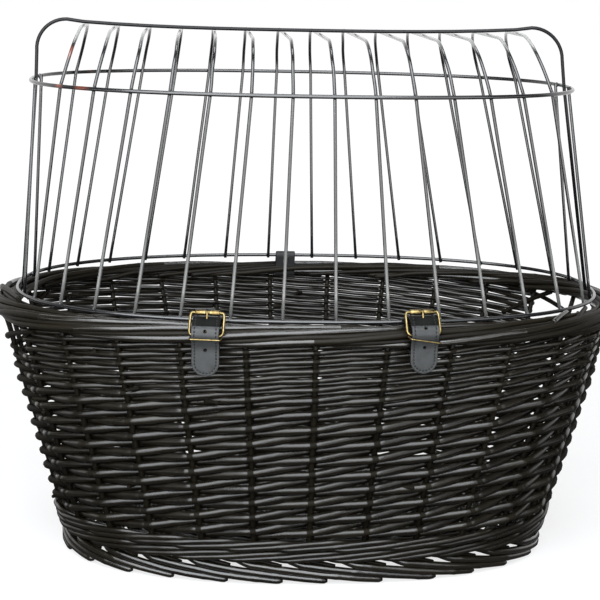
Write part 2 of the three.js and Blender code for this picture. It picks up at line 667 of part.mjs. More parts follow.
// The tail has a round end, a slot that the tongue stands in and spare holes below the buckle
function makeTail(name, strap) {
  const flat = slabAcrossX(stripShape(tailMiddle(strap), LEATHER), 0, STRAP_HALF_WIDE);
  const beyond = STRAP_HALF_WIDE + 1;
  const roundUp = strap.tailEndUp + STRAP_HALF_WIDE;
  const outline = new THREE.Shape();
  outline.moveTo(-beyond, strap.tailEndUp - 1);
  outline.lineTo(beyond, strap.tailEndUp - 1);
  outline.lineTo(beyond, roundUp);
  outline.absarc(0, roundUp, STRAP_HALF_WIDE, 0, Math.PI, true);
  outline.lineTo(-beyond, roundUp);
  const tools = [standingTool(outline, 6)];
  const hole = new THREE.Shape().absarc(0, 0, TAIL_HOLE_RADIUS, 0, 2 * Math.PI, false);
  for (let k = 0; k < TAIL_FREE_HOLES; k++) {
    tools.push(standingTool(hole, 2).translate(0, 0, strap.holeUp - k * TAIL_HOLE_PITCH));
  }
  tools.push(tongueSlotTool(strap));
  addPiece(name, cut(flat, tools), 'leather', strap.group);
}

// A shape drawn in the XZ plane, made into a tool that passes through the hanging tail
function standingTool(shape, curveSegments) {
  const deep = STRAP_HALF_WIDE;
  const geometry = new THREE.ExtrudeGeometry(shape, { depth: deep, bevelEnabled: false, curveSegments });
  return geometry.rotateX(Math.PI / 2).translate(0, heelY, 0);
}

// The space that the tongue sweeps from lying on the roller to its full lift
function tongueSlotTool(strap) {
  const wide = TONGUE_RADIUS + 2 * SEAT_GAP;
  const reach = BUCKLE_REACH + ROLLER_RADIUS;
  const tip = tongueTip(strap).sub(v2(heelY, strap.heelUp));
  const low = Math.atan2(tip.y, tip.x);
  const high = low + TONGUE_LIFT;
  const sweepSteps = 3;
  const sideways = (angle, way) => v2(-Math.sin(angle), Math.cos(angle)).multiplyScalar(way * wide);
  const radial = (angle, far) => v2(heelY + far * Math.cos(angle), strap.heelUp + far * Math.sin(angle));
  const points = [radial(low, 0).add(sideways(low, -1)), radial(low, reach).add(sideways(low, -1))];
  for (let n = 0; n <= sweepSteps; n++) {
    points.push(radial(THREE.MathUtils.lerp(low, high, n / sweepSteps), reach + wide));
  }
  points.push(radial(high, reach).add(sideways(high, 1)), radial(high, 0).add(sideways(high, 1)));
  return slabAcrossX(new THREE.Shape(points), 0, wide);
}

// The chape folds round the heel bar, runs doubled down the border's front and tucks in under it
function makeChape(name, strap) {
  const { heelUp } = strap;
  const tuckLow = tuckTop - LEATHER;
  const doubledFront = chapeBack - 2 * LEATHER;
  const shape = new THREE.Shape();
  shape.moveTo(rimInner, tuckTop);
  shape.lineTo(rimInner, tuckLow);
  shape.lineTo(rimFront, tuckLow);
  shape.quadraticCurveTo(chapeBack - LEATHER, tuckLow, chapeBack - LEATHER, tuckTop);
  shape.lineTo(doubledFront, tuckTop + LEATHER / 2);
  shape.lineTo(doubledFront, heelUp - 2 * (EYE_RADIUS + LEATHER));
  shape.lineTo(chapeFront, heelUp);
  shape.absarc(heelY, heelUp, EYE_RADIUS + LEATHER, Math.PI, 0, true);
  shape.lineTo(chapeBack, tuckTop);
  const eye = new THREE.Path().absarc(heelY, heelUp, EYE_RADIUS, 0, 2 * Math.PI, false);
  shape.holes.push(eye);
  const flat = slabAcrossX(shape, 0, CHAPE_HALF_WIDE, 8);
  const room = TONGUE_EYE_RADIUS + SEAT_GAP;
  const halfLong = TONGUE_HALF_LONG + SEAT_GAP;
  const tongueSlot = boxGeometry(
    new THREE.Vector3(-halfLong, heelY - 2 * room, heelUp - room),
    new THREE.Vector3(halfLong, heelY + 2 * room, heelUp + 2 * room));
  addPiece(name, cut(flat, [tongueSlot]), 'leather', strap.group);
}

function makeBuckle(side, strap) {
  const { group } = strap;
  const heel = new THREE.Vector3(0, heelY, strap.heelUp);
  const across = new THREE.Vector3(1, 0, 0);
  const along = new THREE.Vector3(0, Math.sin(BUCKLE_TILT), Math.cos(BUCKLE_TILT));
  addPiece(`buckle_${side}_frame`, loopWire(frameOutline(), heel, across, along, BAR_RADIUS), 'brass', group);
  addPiece(`buckle_${side}_roller`, rollerGeometry(strap), 'brass', group);
  addPiece(`buckle_${side}_tongue`, tongueGeometry(heel, tongueTip(strap)), 'brass', group);
  addPiece(`buckle_${side}_keeper`, keeperGeometry(strap), 'brass', group);
}

// The frame in its own plane, from the heel bar up: round at the heel, and narrower at the roller bar
function frameOutline() {
  const outline = new THREE.Path();
  const flank = BUCKLE_REACH - BUCKLE_FLARE;
  const cornerX = BUCKLE_HALF_WIDE - BUCKLE_CORNER;
  outline.moveTo(-BUCKLE_TOP_HALF, BUCKLE_REACH);
  outline.quadraticCurveTo(-BUCKLE_HALF_WIDE, BUCKLE_REACH, -BUCKLE_HALF_WIDE, flank);
  outline.lineTo(-BUCKLE_HALF_WIDE, BUCKLE_CORNER);
  outline.absarc(-cornerX, BUCKLE_CORNER, BUCKLE_CORNER, Math.PI, 1.5 * Math.PI, false);
  outline.absarc(cornerX, BUCKLE_CORNER, BUCKLE_CORNER, -Math.PI / 2, 0, false);
  outline.lineTo(BUCKLE_HALF_WIDE, flank);
  outline.quadraticCurveTo(BUCKLE_HALF_WIDE, BUCKLE_REACH, BUCKLE_TOP_HALF, BUCKLE_REACH);
  return outline.getPoints(4);
}

// A tube with a neck in the middle for the tongue
function rollerGeometry(strap) {
  const profile = [
    v2(ROLLER_BORE, -ROLLER_HALF_LONG), v2(ROLLER_RADIUS, -ROLLER_HALF_LONG),
    v2(ROLLER_RADIUS, -ROLLER_NECK_HALF), v2(ROLLER_NECK, -ROLLER_NECK_HALF),
    v2(ROLLER_NECK, ROLLER_NECK_HALF), v2(ROLLER_RADIUS, ROLLER_NECK_HALF),
    v2(ROLLER_RADIUS, ROLLER_HALF_LONG), v2(ROLLER_BORE, ROLLER_HALF_LONG),
    v2(ROLLER_BORE, -ROLLER_HALF_LONG),
  ];
  const roller = new THREE.LatheGeometry(profile, ROUND_SIDES);
  return roller.rotateZ(Math.PI / 2).translate(0, rollerY, strap.rollerUp);
}

// An eye round the heel bar, and a round blade from it to just past the roller
function tongueGeometry(heel, rest) {
  const profile = [
    v2(ROLLER_BORE, -TONGUE_HALF_LONG), v2(TONGUE_EYE_RADIUS, -TONGUE_HALF_LONG),
    v2(TONGUE_EYE_RADIUS, TONGUE_HALF_LONG), v2(ROLLER_BORE, TONGUE_HALF_LONG),
    v2(ROLLER_BORE, -TONGUE_HALF_LONG),
  ];
  const eye = new THREE.LatheGeometry(profile, ROUND_SIDES);
  eye.rotateZ(Math.PI / 2).translate(heel.x, heel.y, heel.z);
  const tip = new THREE.Vector3(0, rest.x, rest.y);
  const aim = tip.clone().sub(heel).normalize();
  const root = heel.clone().addScaledVector(aim, (TONGUE_EYE_RADIUS + ROLLER_BORE) / 2);
  const end = tip.clone().addScaledVector(aim, ROLLER_RADIUS / 2);
  const blade = wireGeometry([root, end], TONGUE_RADIUS, 8);
  return toGeometry(toSolid(eye).add(toSolid(blade)));
}

// The keeper passes behind the chape and in front of the tail
function keeperGeometry(strap) {
  const backY = chapeBack + SEAT_GAP + KEEPER_WIRE;
  const frontY = chapeFront - LEATHER - 2 * SEAT_GAP - KEEPER_WIRE;
  const deep = backY - frontY;
  const halfWide = STRAP_HALF_WIDE + 2 * SEAT_GAP + KEEPER_WIRE;
  const corner = KEEPER_CORNER;
  const cornerX = halfWide - corner;
  const ring = new THREE.Path();
  ring.absarc(cornerX, corner, corner, -Math.PI / 2, 0, false);
  ring.absarc(cornerX, deep - corner, corner, 0, Math.PI / 2, false);
  ring.absarc(-cornerX, deep - corner, corner, Math.PI / 2, Math.PI, false);
  ring.absarc(-cornerX, corner, corner, Math.PI, 1.5 * Math.PI, false);
  const turn = THREE.MathUtils.degToRad(strap.keeperTurn);
  const across = new THREE.Vector3(Math.cos(turn), 0, -Math.sin(turn));
  const along = new THREE.Vector3(0, 1, 0);
  const middle = new THREE.Vector3(0, frontY, strap.keeperUp);
  return loopWire(ring.getPoints(2), middle, across, along, KEEPER_WIRE);
}

// A closed loop of round wire along an outline, which runs anticlockwise in the plane of two axes
function loopWire(outline, origin, across, along, radius) {
  const points = outline.filter((p, k) => k === 0 || p.distanceTo(outline[k - 1]) > 0.01);
  if (points[0].distanceTo(points.at(-1)) < 0.01) points.pop();
  const normal = new THREE.Vector3().crossVectors(across, along);
  const place = (p) => origin.clone().addScaledVector(across, p.x).addScaledVector(along, p.y);
  const count = points.length;
  return closedBand(count, WIRE_SIDES, (i, j) => {
    const before = points[(i + count - 1) % count];
    const after = points[(i + 1) % count];
    const inward = points[i].clone().sub(before).normalize();
    const heading = after.clone().sub(points[i]).normalize().add(inward).normalize();
    const out = across.clone().multiplyScalar(heading.y).addScaledVector(along, -heading.x);
    const angle = (2 * Math.PI * (j + 0.5)) / WIRE_SIDES;
    return place(points[i]).addScaledVector(out, radius * Math.cos(angle))
      .addScaledVector(normal, radius * Math.sin(angle));
  });
}

// Convex outline round a set of points
function hull(points) {
  const sorted = [...points].sort((p, q) => p.x - q.x || p.y - q.y);
  const turn = (o, p, q) => (p.x - o.x) * (q.y - o.y) - (p.y - o.y) * (q.x - o.x);
  const half = (list) => {
    const chain = [];
    for (const p of list) {
      while (chain.length > 1 && turn(chain.at(-2), chain.at(-1), p) <= 1e-6) chain.pop();
      chain.push(p);
    }
    return chain.slice(0, -1);
  };
  return [...half(sorted), ...half(sorted.reverse())];
}

// The hinge: a loop of leather round the border and the lower ring at the back
function makeHinge() {
  const around = (grow) => {
    const rim = rimSection(grow).map((p) => v2(RIM_HALF_Y + p.x, rimMidZ(RIM_HALF_Y) + p.y));
    const ringReach = (RING_WIRE + grow) / Math.cos(Math.PI / RIM_SIDES);
    const ring = roundSection(ringReach, RIM_SIDES).getPoints();
    return hull([...rim, ...ring.map((p) => v2(LOWER_HALF_Y + p.x, LOWER_RING_Z + p.y))]);
  };
  const shape = new THREE.Shape(around(SEAT_GAP + LEATHER));
  shape.holes.push(new THREE.Path(around(SEAT_GAP)));
  addPiece('hinge_strap', slabAcrossX(shape, HINGE_PLACE, HINGE_HALF_WIDE), 'leather');
}

makeWillow();
makeCage();
makeStrap('left');
makeStrap('right');
makeHinge();

// The origin is under the middle of the whole part
const bounds = new THREE.Box3().setFromObject(basket);
basket.position.set(-(bounds.min.x + bounds.max.x) / 2, -(bounds.min.y + bounds.max.y) / 2, -bounds.min.z);

export default basket;
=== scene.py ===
"""A dog's bicycle basket: black lacquered willow, a satin black wire cage and two buckled straps."""
import math
import random

import bmesh
import bpy
import numpy as np
from mathutils import Matrix, Vector


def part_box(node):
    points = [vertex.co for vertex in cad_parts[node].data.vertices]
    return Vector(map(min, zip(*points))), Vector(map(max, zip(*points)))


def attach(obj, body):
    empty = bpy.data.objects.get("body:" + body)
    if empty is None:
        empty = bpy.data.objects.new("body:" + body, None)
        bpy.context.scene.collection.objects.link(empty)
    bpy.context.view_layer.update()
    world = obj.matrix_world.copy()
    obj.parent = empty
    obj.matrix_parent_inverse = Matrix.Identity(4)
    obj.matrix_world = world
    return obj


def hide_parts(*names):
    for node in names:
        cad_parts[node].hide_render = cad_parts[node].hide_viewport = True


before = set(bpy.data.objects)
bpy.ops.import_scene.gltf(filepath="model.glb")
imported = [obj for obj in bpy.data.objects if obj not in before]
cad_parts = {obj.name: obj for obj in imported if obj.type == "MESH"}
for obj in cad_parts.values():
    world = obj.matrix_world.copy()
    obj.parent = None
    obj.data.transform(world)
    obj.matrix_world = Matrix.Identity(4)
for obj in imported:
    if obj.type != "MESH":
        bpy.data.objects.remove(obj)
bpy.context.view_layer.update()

MM = 0.001
TAU = 2 * math.pi

# The frame's origin is under the middle of the part, a little behind the middle of the rings
SHIFT_Y = (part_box("foot_border")[0][1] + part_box("foot_border")[1][1]) / 2 / MM

# Plan of the basket, in millimetres as every size below
OVAL_POWER = 2.3
FOOT_HALF = (227.0, 126.0)
RIM_HALF = (276.0, 165.0)
RIM_MID_Z = 231.25
RIM_DROP = 4.0
RIM_HALF_WIDE = 13.0
RIM_HALF_TALL = 9.5
WALL_LOW_Z = 16.3
WALL_TOP_Z = 221.45
WALL_LOW_HALF = (230.0, 129.0)
WALL_TOP_HALF = (285.0, 174.0)
STAKE_INSET = 8.5
STAKES = 27
STAKE_FIRST = 0.21       # place of the first stake, in bays from the right end
STAKE_CROWD = 0.2        # how much the bays narrow at the basket's two ends
STAKE_RADIUS = 2.4
STAKE_LOW_Z = 9
STAKE_HIGH_Z = 226

# Heights and rods of the weave
BUD_SWELL = 0.10
BUD_LENGTH = 2.6
WALE_LOW_Z = 27.2        # middle of the lower round
WALE_PITCH = 10.6
WALE_ROUNDS = 2
WALE_CLIMB = 4.7
WALE_ROD = 2.55
RAND_LOW_Z = 45.5
LOW_PITCH = 6.95
TOP_PITCH = 4.1
THINNING_Z = (156.0, 188.0)
GRIP_LOW_Z = 195.5
ROD_FILL = 0.52          # a rod's radius as a share of the pitch of the rows
BEHIND_SAG = 1.7         # rods sit lower behind the stakes in front, and higher at the back
GRIP_BAYS = ((-1, 2), (12, 15))
# Border ends across a grip: bay from its middle and height at their start, then at their tip
GRIP_RODS = ((0.15, 199, 1.9, 222), (1.05, 224, 2.05, 196), (-0.1, 222, -1.4, 198), (-1.1, 196, -2.0, 221))
PRESSED_THIN = 0.12      # how much thinner the rods are at the basket's two ends
PRESSED_FLAT = 0.32      # and how much less they stand out there
CUT_ENDS = 46
FOOT_RUN = 2.45          # bays along which a foot strand lies in front
FOOT_ROD = 3.35
FOOT_START_Z = 17.0
FOOT_FALL = 6.9          # a foot strand's fall in its first bay
FOOT_TUCK = 6.5          # how far in and up its start lies behind the next stake
FOOT_LOWEST_Z = 3.4
BORDER_RUN = 8.6         # bays along which a strand climbs over the border
BORDER_ROD = 2.4
BORDER_EXTRA = 0.4       # every other strand is this much thicker
BORDER_SUNK = 1.7        # and the ones between lie this much deeper
BORDER_CORE = 3.4
BORDER_ROUND = 0.8       # power that squares the border's section
BORDER_WOBBLE = 0.45
BORDER_TURN = (math.radians(-82), math.radians(200))
BASE_Z = 27.0
BASE_INSET = 14.0
BASE_WAVE = 3.4          # how far the rods of the base pass over and under its sticks
# Along the front every other strand shines from the left end to a place, and every fourth one farther
SHINE_FROM = -232
SHINE_TO = -10
SHINE_FAR_TO = 150
# Ends of border rods that lie across it at its two ends, from tail to tip
LOOSE_ENDS = (
    ((201.5, -135.0, 241.5), (219.5, -107.5, 245.0)),
    ((226.0, -116.0, 238.0), (243.0, -78.0, 242.5)),
    ((-280.0, -3.0, 241.0), (-257.0, -66.0, 243.0)),
    ((-281.5, 9.0, 240.0), (-262.0, -50.0, 243.0)),
)

# Cage
RING_WIRE = 1.7
HOOP_WIRE = 1.5
RIDGE_WIRE = 1.6
WELD_GAP = 0.35
HOOPS = 14
LOWER_RING_Z = 245.0
LOWER_HALF = (265.0, 155.0)
UPPER_RING_Z = 431.5
UPPER_HALF = (242.5, 152.0)
ROOF_Z = 474.8
ROOF_LIFT = 4.0
ROOF_FAN = (194.0, math.radians(33))
WAIST_FAN = (210.0, math.radians(30))
FOOT_FAN = (244.0, math.radians(58))
FOOT_SKEW = -8.0
CAGE_LEAN = -10.0
LEG_TIP = 2.0
RIDGE_BEND = 28.0
RIDGE_HUMP = 2.0
STRUT_TOP_Y = 27.0
STRUT_FOOT_Y = 42.0

# Places where rust shows through the coating of the wires
RUST_SPOTS = ((-217.0, -88.8, 431.5), (-198.2, -105.2, 431.5), (-210.0, -73.4, 459.0))
RUST_REACH = 4.0
# Painted light: the roof wires and the low front legs are painted lighter grey within these bounds
PAINTED_LIGHT_ROOF_HALF = 130
PAINTED_LIGHT_LEG_TOP_Z = 315

WELD_RADIUS = 1.15
WELD_HALF_LONG = 2.6
WELD_OUT = 1.5           # a weld's middle is this far outside its wire's middle

# Straps and buckles
STRAPS = {
    "left": dict(x=-91.5, heel_up=2.8, end_up=-30.7, hole_up=8.0, keeper_up=1.2, keeper_turn=0.0),
    "right": dict(x=82.5, heel_up=5.1, end_up=-27.0, hole_up=12.0, keeper_up=1.5, keeper_turn=9.0),
}
SEAT = 0.3
LEATHER = 2.0
STRAP_HALF = 11.5
CHAPE_HALF = 9.5
EDGE_ROUND = 0.7         # radius of a strap's long edges
SEAM = 2.6               # the stitches lie in a groove this far inside the edge
GROOVE_HALF = 0.9
GROOVE_DEPTH = 0.18
STITCH_FIRST = 30        # along the tail from its tucked end
STITCH_PITCH = 2.8
STITCH_LENGTH = 1.4
ROLLER_SHADOW_LENGTH = 9.4      # painted shadow of the roller: the hanging side of a strap is painted near-black this far below the roller's middle
HOLE_PITCH = 16.6
HOLE_RADIUS = 1.55
TONGUE_HOLE_RADIUS = 1.5
BAR_RADIUS = 1.15
REACH = 20.0
TILT = math.radians(30)
EYE = 1.5
BUCKLE_HALF = 13.95
BUCKLE_TOP_HALF = 12.2
BUCKLE_FLARE = 5.0
BUCKLE_CORNER = 4.15
ROLLER_RADIUS = 2.3
ROLLER_NECK = 1.85
ROLLER_BORE = 1.5
ROLLER_HALF = 10.2
TONGUE_RADIUS = 0.9
TONGUE_EYE = 2.3
TONGUE_LEAN = math.radians(21)
KEEPER_WIRE = 0.7
KEEPER_CORNER = 1.5
HINGE_X = -12.6
HINGE_HALF = 9.7
HINGE_TUCK = 6.5


# Shapes in plan

def smooth_step(share):
    """An even rise from 0 to 1 that is flat at both ends."""
    share = min(max(share, 0.0), 1.0)
    return share * share * (3 - 2 * share)


def lengths_along(points):
    """How far along a line each of its points is."""
    return np.concatenate([[0], np.cumsum(np.linalg.norm(np.diff(points, axis=0), axis=1))])


def signed_power(value, power):
    return math.copysign(abs(value) ** power, value)


def oval(half, angle, out=0.0):
    """A point of an oval, moved outward square to it."""
    c, s = math.cos(angle), math.sin(angle)
    x = half[0] * signed_power(c, 2 / OVAL_POWER)
    y = half[1] * signed_power(s, 2 / OVAL_POWER)
    nx = signed_power(c, 2 - 2 / OVAL_POWER) / half[0]
    ny = signed_power(s, 2 - 2 / OVAL_POWER) / half[1]
    size = math.hypot(nx, ny)
    return x + nx / size * out, y + ny / size * out


def reach(half, x):
    """Half depth of an oval at a distance x along it."""
    return half[1] * (1 - abs(x / half[0]) ** OVAL_POWER) ** (1 / OVAL_POWER)


def spread_angles(half, fine=7200):
    """Angles round an oval against the share of the bays, which are narrower at its two ends."""
    angles = np.linspace(0, TAU, fine + 1)
    lengths = lengths_along([oval(half, a) for a in angles])
    return (1 - STAKE_CROWD) * lengths / lengths[-1] + STAKE_CROWD * angles / TAU, angles


SHARES, ANGLES = spread_angles(RIM_HALF)


def bay_angle(bay):
    """The oval angle at a place counted in bays, with a stake at each whole number."""
    turns, share = divmod((bay + STAKE_FIRST) / STAKES, 1)
    return float(np.interp(share, SHARES, ANGLES)) + TAU * turns


def wall_half(z):
    share = (z - WALL_LOW_Z) / (WALL_TOP_Z - WALL_LOW_Z)
    return tuple(a + (b - a) * share for a, b in zip(WALL_LOW_HALF, WALL_TOP_HALF))


def wall_point(bay, z, out=0.0):
    """A point of the wall, out from the line through the stakes' middles."""
    x, y = oval(wall_half(z), bay_angle(bay), out - STAKE_INSET)
    return (x, y, z)


def rim_mid_z(y):
    return RIM_MID_Z - RIM_DROP * y / RIM_HALF[1]


def rim_lift(bay, z):
    """How far the border's slope lifts the weave: nothing at the foot, all of it at the top."""
    y = oval(RIM_HALF, bay_angle(bay))[1]
    share = max(0.0, (z - RAND_LOW_Z) / (WALL_TOP_Z - RAND_LOW_Z))
    return (rim_mid_z(y) - RIM_MID_Z) * share


# Meshes

class Rods:
    """Many round rods in one mesh, with the length along each rod and the way round it as UVs.

    Each point of a rod has a tone and a bend from 0 to 1, for its material."""

    def __init__(self, name, sides=10):
        self.name = name
        self.sides = sides
        self.vertices = []
        self.faces = []
        self.uvs = []
        self.tones = []
        self.bends = []
        self.count = 0

    def add(self, points, radii, tone=0.5, closed=False, bend=0.0):
        points = np.asarray(points, dtype=float)
        n = len(points)
        radii = np.broadcast_to(np.asarray(radii, dtype=float), (n,))
        if closed:
            tangents = np.roll(points, -1, axis=0) - np.roll(points, 1, axis=0)
        else:
            tangents = np.gradient(points, axis=0)
        tangents /= np.linalg.norm(tangents, axis=1)[:, None]
        first = np.array((0, 0, 1) if abs(tangents[0][2]) < 0.9 else (0, 1, 0), dtype=float)
        sides = [first - tangents[0] * first.dot(tangents[0])]
        sides[0] /= np.linalg.norm(sides[0])
        for k in range(1, n):
            side = sides[-1] - tangents[k] * sides[-1].dot(tangents[k])
            sides.append(side / np.linalg.norm(side))
        sides = np.array(sides)
        others = np.cross(tangents, sides)
        angles = np.arange(self.sides) * TAU / self.sides
        ring = (np.cos(angles)[None, :, None] * sides[:, None, :]
                + np.sin(angles)[None, :, None] * others[:, None, :])
        rings = points[:, None, :] + ring * radii[:, None, None]
        base = self.count
        self.vertices.append(rings.reshape(-1, 3))
        self.count += n * self.sides
        along = lengths_along(points)
        self.tones.extend(np.repeat(np.broadcast_to(tone, (n,)), self.sides).tolist())
        self.bends.extend(np.repeat(np.broadcast_to(bend, (n,)), self.sides).tolist())
        offset = 997.0 * float(np.mean(tone))
        lap = float(np.linalg.norm(points[0] - points[-1]))
        self.faces += tube_faces(n, self.sides, closed, base)
        ends = np.append(along, along[-1] + lap) + offset
        for u0, u1 in zip(ends[:n if closed else n - 1], ends[1:]):
            for s in range(self.sides):
                v0, v1 = s / self.sides, (s + 1) / self.sides
                self.uvs.extend(((u0, v0), (u0, v1), (u1, v1), (u1, v0)))
        if not closed:
            low = [base + s for s in range(self.sides)]
            high = [base + (n - 1) * self.sides + s for s in range(self.sides)]
            for cap, u in ((low[::-1], offset), (high, offset + along[-1])):
                self.faces.append(tuple(cap))
                self.uvs.extend((u, 0.5 + 0.5 * math.cos(k)) for k in range(self.sides))

    def build(self, material, body, slot, *nodes, bent=None):
        """Make the mesh; faces whose bend is 1 take the second material, where there is one."""
        mesh = plain_mesh(self.name, np.concatenate(self.vertices), self.faces)
        layer = mesh.uv_layers.new(name="rod")
        layer.data.foreach_set("uv", (np.array(self.uvs, dtype=float) * (MM, 1)).ravel())
        for name, values in (("tone", self.tones), ("bend", self.bends)):
            attribute = mesh.attributes.new(name, "FLOAT", "POINT")
            attribute.data.foreach_set("value", np.array(values, dtype=float))
        mesh.polygons.foreach_set("use_smooth", [len(f) == 4 for f in self.faces])
        piece = finish_piece(self.name, mesh, material, body, nodes)
        if bent:
            piece.data.materials.append(bent)
            kinds = [int(min(self.bends[v] for v in face) > 0.9) for face in self.faces]
            piece.data.polygons.foreach_set("material_index", kinds)


def tube_faces(rings, sides, closed, base=0):
    """Faces between rings of vertices; the last ring joins the first where the tube is closed."""
    faces = []
    for i in range(rings if closed else rings - 1):
        low, high = base + i * sides, base + (i + 1) % rings * sides
        for s in range(sides):
            t = (s + 1) % sides
            faces.append((low + s, low + t, high + t, high + s))
    return faces


def plain_mesh(name, vertices, faces):
    """A smooth mesh of vertices in millimetres, counted from the middle of the rings."""
    placed = np.array(vertices) * MM
    placed[:, 1] += SHIFT_Y * MM
    mesh = bpy.data.meshes.new(name)
    mesh.from_pydata(placed.tolist(), [], faces)
    mesh.polygons.foreach_set("use_smooth", [True] * len(faces))
    return mesh


def finish_piece(name, mesh, material, body, nodes=()):
    mesh.validate()
    mesh.update()
    mesh.materials.append(material)
    piece = bpy.data.objects.new(name, mesh)
    bpy.context.scene.collection.objects.link(piece)
    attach(piece, body)
    if nodes:
        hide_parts(*nodes)
    return piece


def smooth_noise(seed, count, spacing):
    """Smooth random values between -1 and 1 against a place, one knot at each spacing."""
    source = random.Random(seed)
    knots = [source.uniform(-1, 1) for _ in range(count + 4)]

    def value(place):
        k = min(max(place / spacing, 0), count)
        i = int(k)
        part = smooth_step(k - i)
        return knots[i] * (1 - part) + knots[i + 1] * part
    return value


# Materials

def node_material(name):
    material = bpy.data.materials.new(name)
    material.use_nodes = True
    tree = material.node_tree
    return material, tree, tree.nodes["Principled BSDF"]


def feed(tree, node, inputs):
    """Give each input of a node a value, or a link from the output of another node."""
    for socket, value in inputs.items():
        if isinstance(value, bpy.types.NodeSocket):
            tree.links.new(value, node.inputs[socket])
        else:
            node.inputs[socket].default_value = value


def add_node(tree, kind, inputs=None, **settings):
    """Add a shader node and return its outputs."""
    node = tree.nodes.new("ShaderNode" + kind)
    for name, value in settings.items():
        setattr(node, name, value)
    feed(tree, node, inputs or {})
    return node.outputs


def add_noise(tree, vector, scale, detail):
    return add_node(tree, "TexNoise", {"Vector": vector, "Scale": scale, "Detail": detail})["Fac"]


def add_math(tree, operation, *values):
    return add_node(tree, "Math", dict(enumerate(values)), operation=operation)[0]


def add_range(tree, value, source, target, interpolation="LINEAR"):
    """Map a value from one range to another, each given as its two ends."""
    inputs = {"Value": value, "From Min": source[0], "From Max": source[1],
              "To Min": target[0], "To Max": target[1]}
    return add_node(tree, "MapRange", inputs, interpolation_type=interpolation)["Result"]


def add_ramp(tree, value, *stops):
    """A colour against a value, from two stops given as (place, colour)."""
    ramp = tree.nodes.new("ShaderNodeValToRGB")
    tree.links.new(value, ramp.inputs["Fac"])
    for element, (place, colour) in zip(ramp.color_ramp.elements, stops):
        element.position = place
        element.color = (*colour, 1)
    return ramp.outputs["Color"]


def add_bump(tree, height, strength, distance):
    return add_node(tree, "Bump", {"Height": height, "Strength": strength, "Distance": distance})["Normal"]


def add_attribute(tree, name):
    return add_node(tree, "Attribute", attribute_name=name)["Fac"]


def add_mix(tree, factor, colour, other):
    inputs = {"Factor": factor, "A": colour, "B": (*other, 1)}
    return add_node(tree, "Mix", inputs, data_type="RGBA")["Result"]


def willow_material(name, gloss, specular=0.65, coat=0.0):
    """Black lacquered willow; gloss is its least and greatest roughness."""
    material, tree, shader = node_material(name)
    along = add_node(tree, "UVMap", uv_map="rod")["UV"]
    fine = add_node(tree, "Mapping", {"Vector": along, "Scale": (60, 5, 1)})["Vector"]
    coarse = add_node(tree, "Mapping", {"Vector": along, "Scale": (14, 1.2, 1)})["Vector"]
    grain = add_noise(tree, fine, 3.0, 5.0)
    patches = add_noise(tree, coarse, 2.0, 3.0)
    half_patches = add_math(tree, "MULTIPLY", patches, 0.5)
    shade = add_math(tree, "MULTIPLY_ADD", add_attribute(tree, "tone"), 0.5, half_patches)
    feed(tree, shader, {
        "Base Color": add_ramp(tree, shade, (0.2, (0.004, 0.003, 0.0014)), (0.85, (0.0115, 0.009, 0.0046))),
        "Roughness": add_range(tree, patches, (0, 1), gloss),
        "Normal": add_bump(tree, grain, 0.35, 0.0004),
        "Specular IOR Level": specular,
        "Coat Weight": coat,
        "Coat Roughness": 0.2,
    })
    return material


def wire_material(name, specular, coat):
    """Black coated wire, painted lighter grey where its tone is high, as painted light, and rusty where its
    bend is.
    """
    material, tree, shader = node_material(name)
    place = add_node(tree, "TexCoord")["Object"]
    powder = add_noise(tree, place, 900.0, 3.0)
    coat_change = add_noise(tree, place, 38.0, 6.0)
    coating = add_ramp(tree, coat_change, (0.70, (0.01, 0.01, 0.011)), (0.79, (0.11, 0.03, 0.018)))
    # Painted light: a high tone lightens the coating to grey where the wire catches the light
    painted_light_grey = add_mix(tree, add_attribute(tree, "tone"), coating, (0.4, 0.4, 0.38))
    feed(tree, shader, {
        "Base Color": add_mix(tree, add_attribute(tree, "bend"), painted_light_grey, (0.26, 0.06, 0.03)),
        "Roughness": add_range(tree, powder, (0, 1), (0.14, 0.22)),
        "Normal": add_bump(tree, powder, 0.12, 0.0001),
        "Specular IOR Level": specular,
        "Coat Weight": coat,
        "Coat Roughness": 0.1,
    })
    return material


def leather_material(name, dark, light, roughness=0.65, specular=0.5):
    """Black leather with fine pores and folds, between its dark and its light colour."""
    material, tree, shader = node_material(name)
    place = add_node(tree, "TexCoord")["Object"]
    pores = add_node(tree, "TexVoronoi", {"Vector": place, "Scale": 1500.0})["Distance"]
    folds = add_noise(tree, place, 140.0, 6.0)
    relief = add_math(tree, "MULTIPLY_ADD", pores, 0.35, folds)
    feed(tree, shader, {
        "Base Color": add_ramp(tree, folds, (0.3, dark), (0.75, light)),
        "Roughness": roughness,
        "Normal": add_bump(tree, relief, 0.35, 0.0003),
        "Specular IOR Level": specular,
    })
    return material


def brass_material():
    material, tree, shader = node_material("polished_brass")
    tarnish = add_noise(tree, add_node(tree, "TexCoord")["Object"], 420.0, 5.0)
    feed(tree, shader, {
        "Base Color": add_ramp(tree, tarnish, (0.35, (0.2, 0.145, 0.055)), (0.7, (0.36, 0.28, 0.13))),
        "Roughness": add_range(tree, tarnish, (0, 1), (0.24, 0.34)),
        "Metallic": 1.0,
    })
    return material


def thread_material():
    material, tree, shader = node_material("black_thread")
    place = add_node(tree, "TexCoord")["Object"]
    twist = add_node(tree, "TexWave", {"Vector": place, "Scale": 900.0})["Fac"]
    feed(tree, shader, {
        "Base Color": (0.006, 0.006, 0.006, 1),
        "Roughness": 0.7,
        "Normal": add_bump(tree, twist, 0.4, 0.0001),
    })
    return material


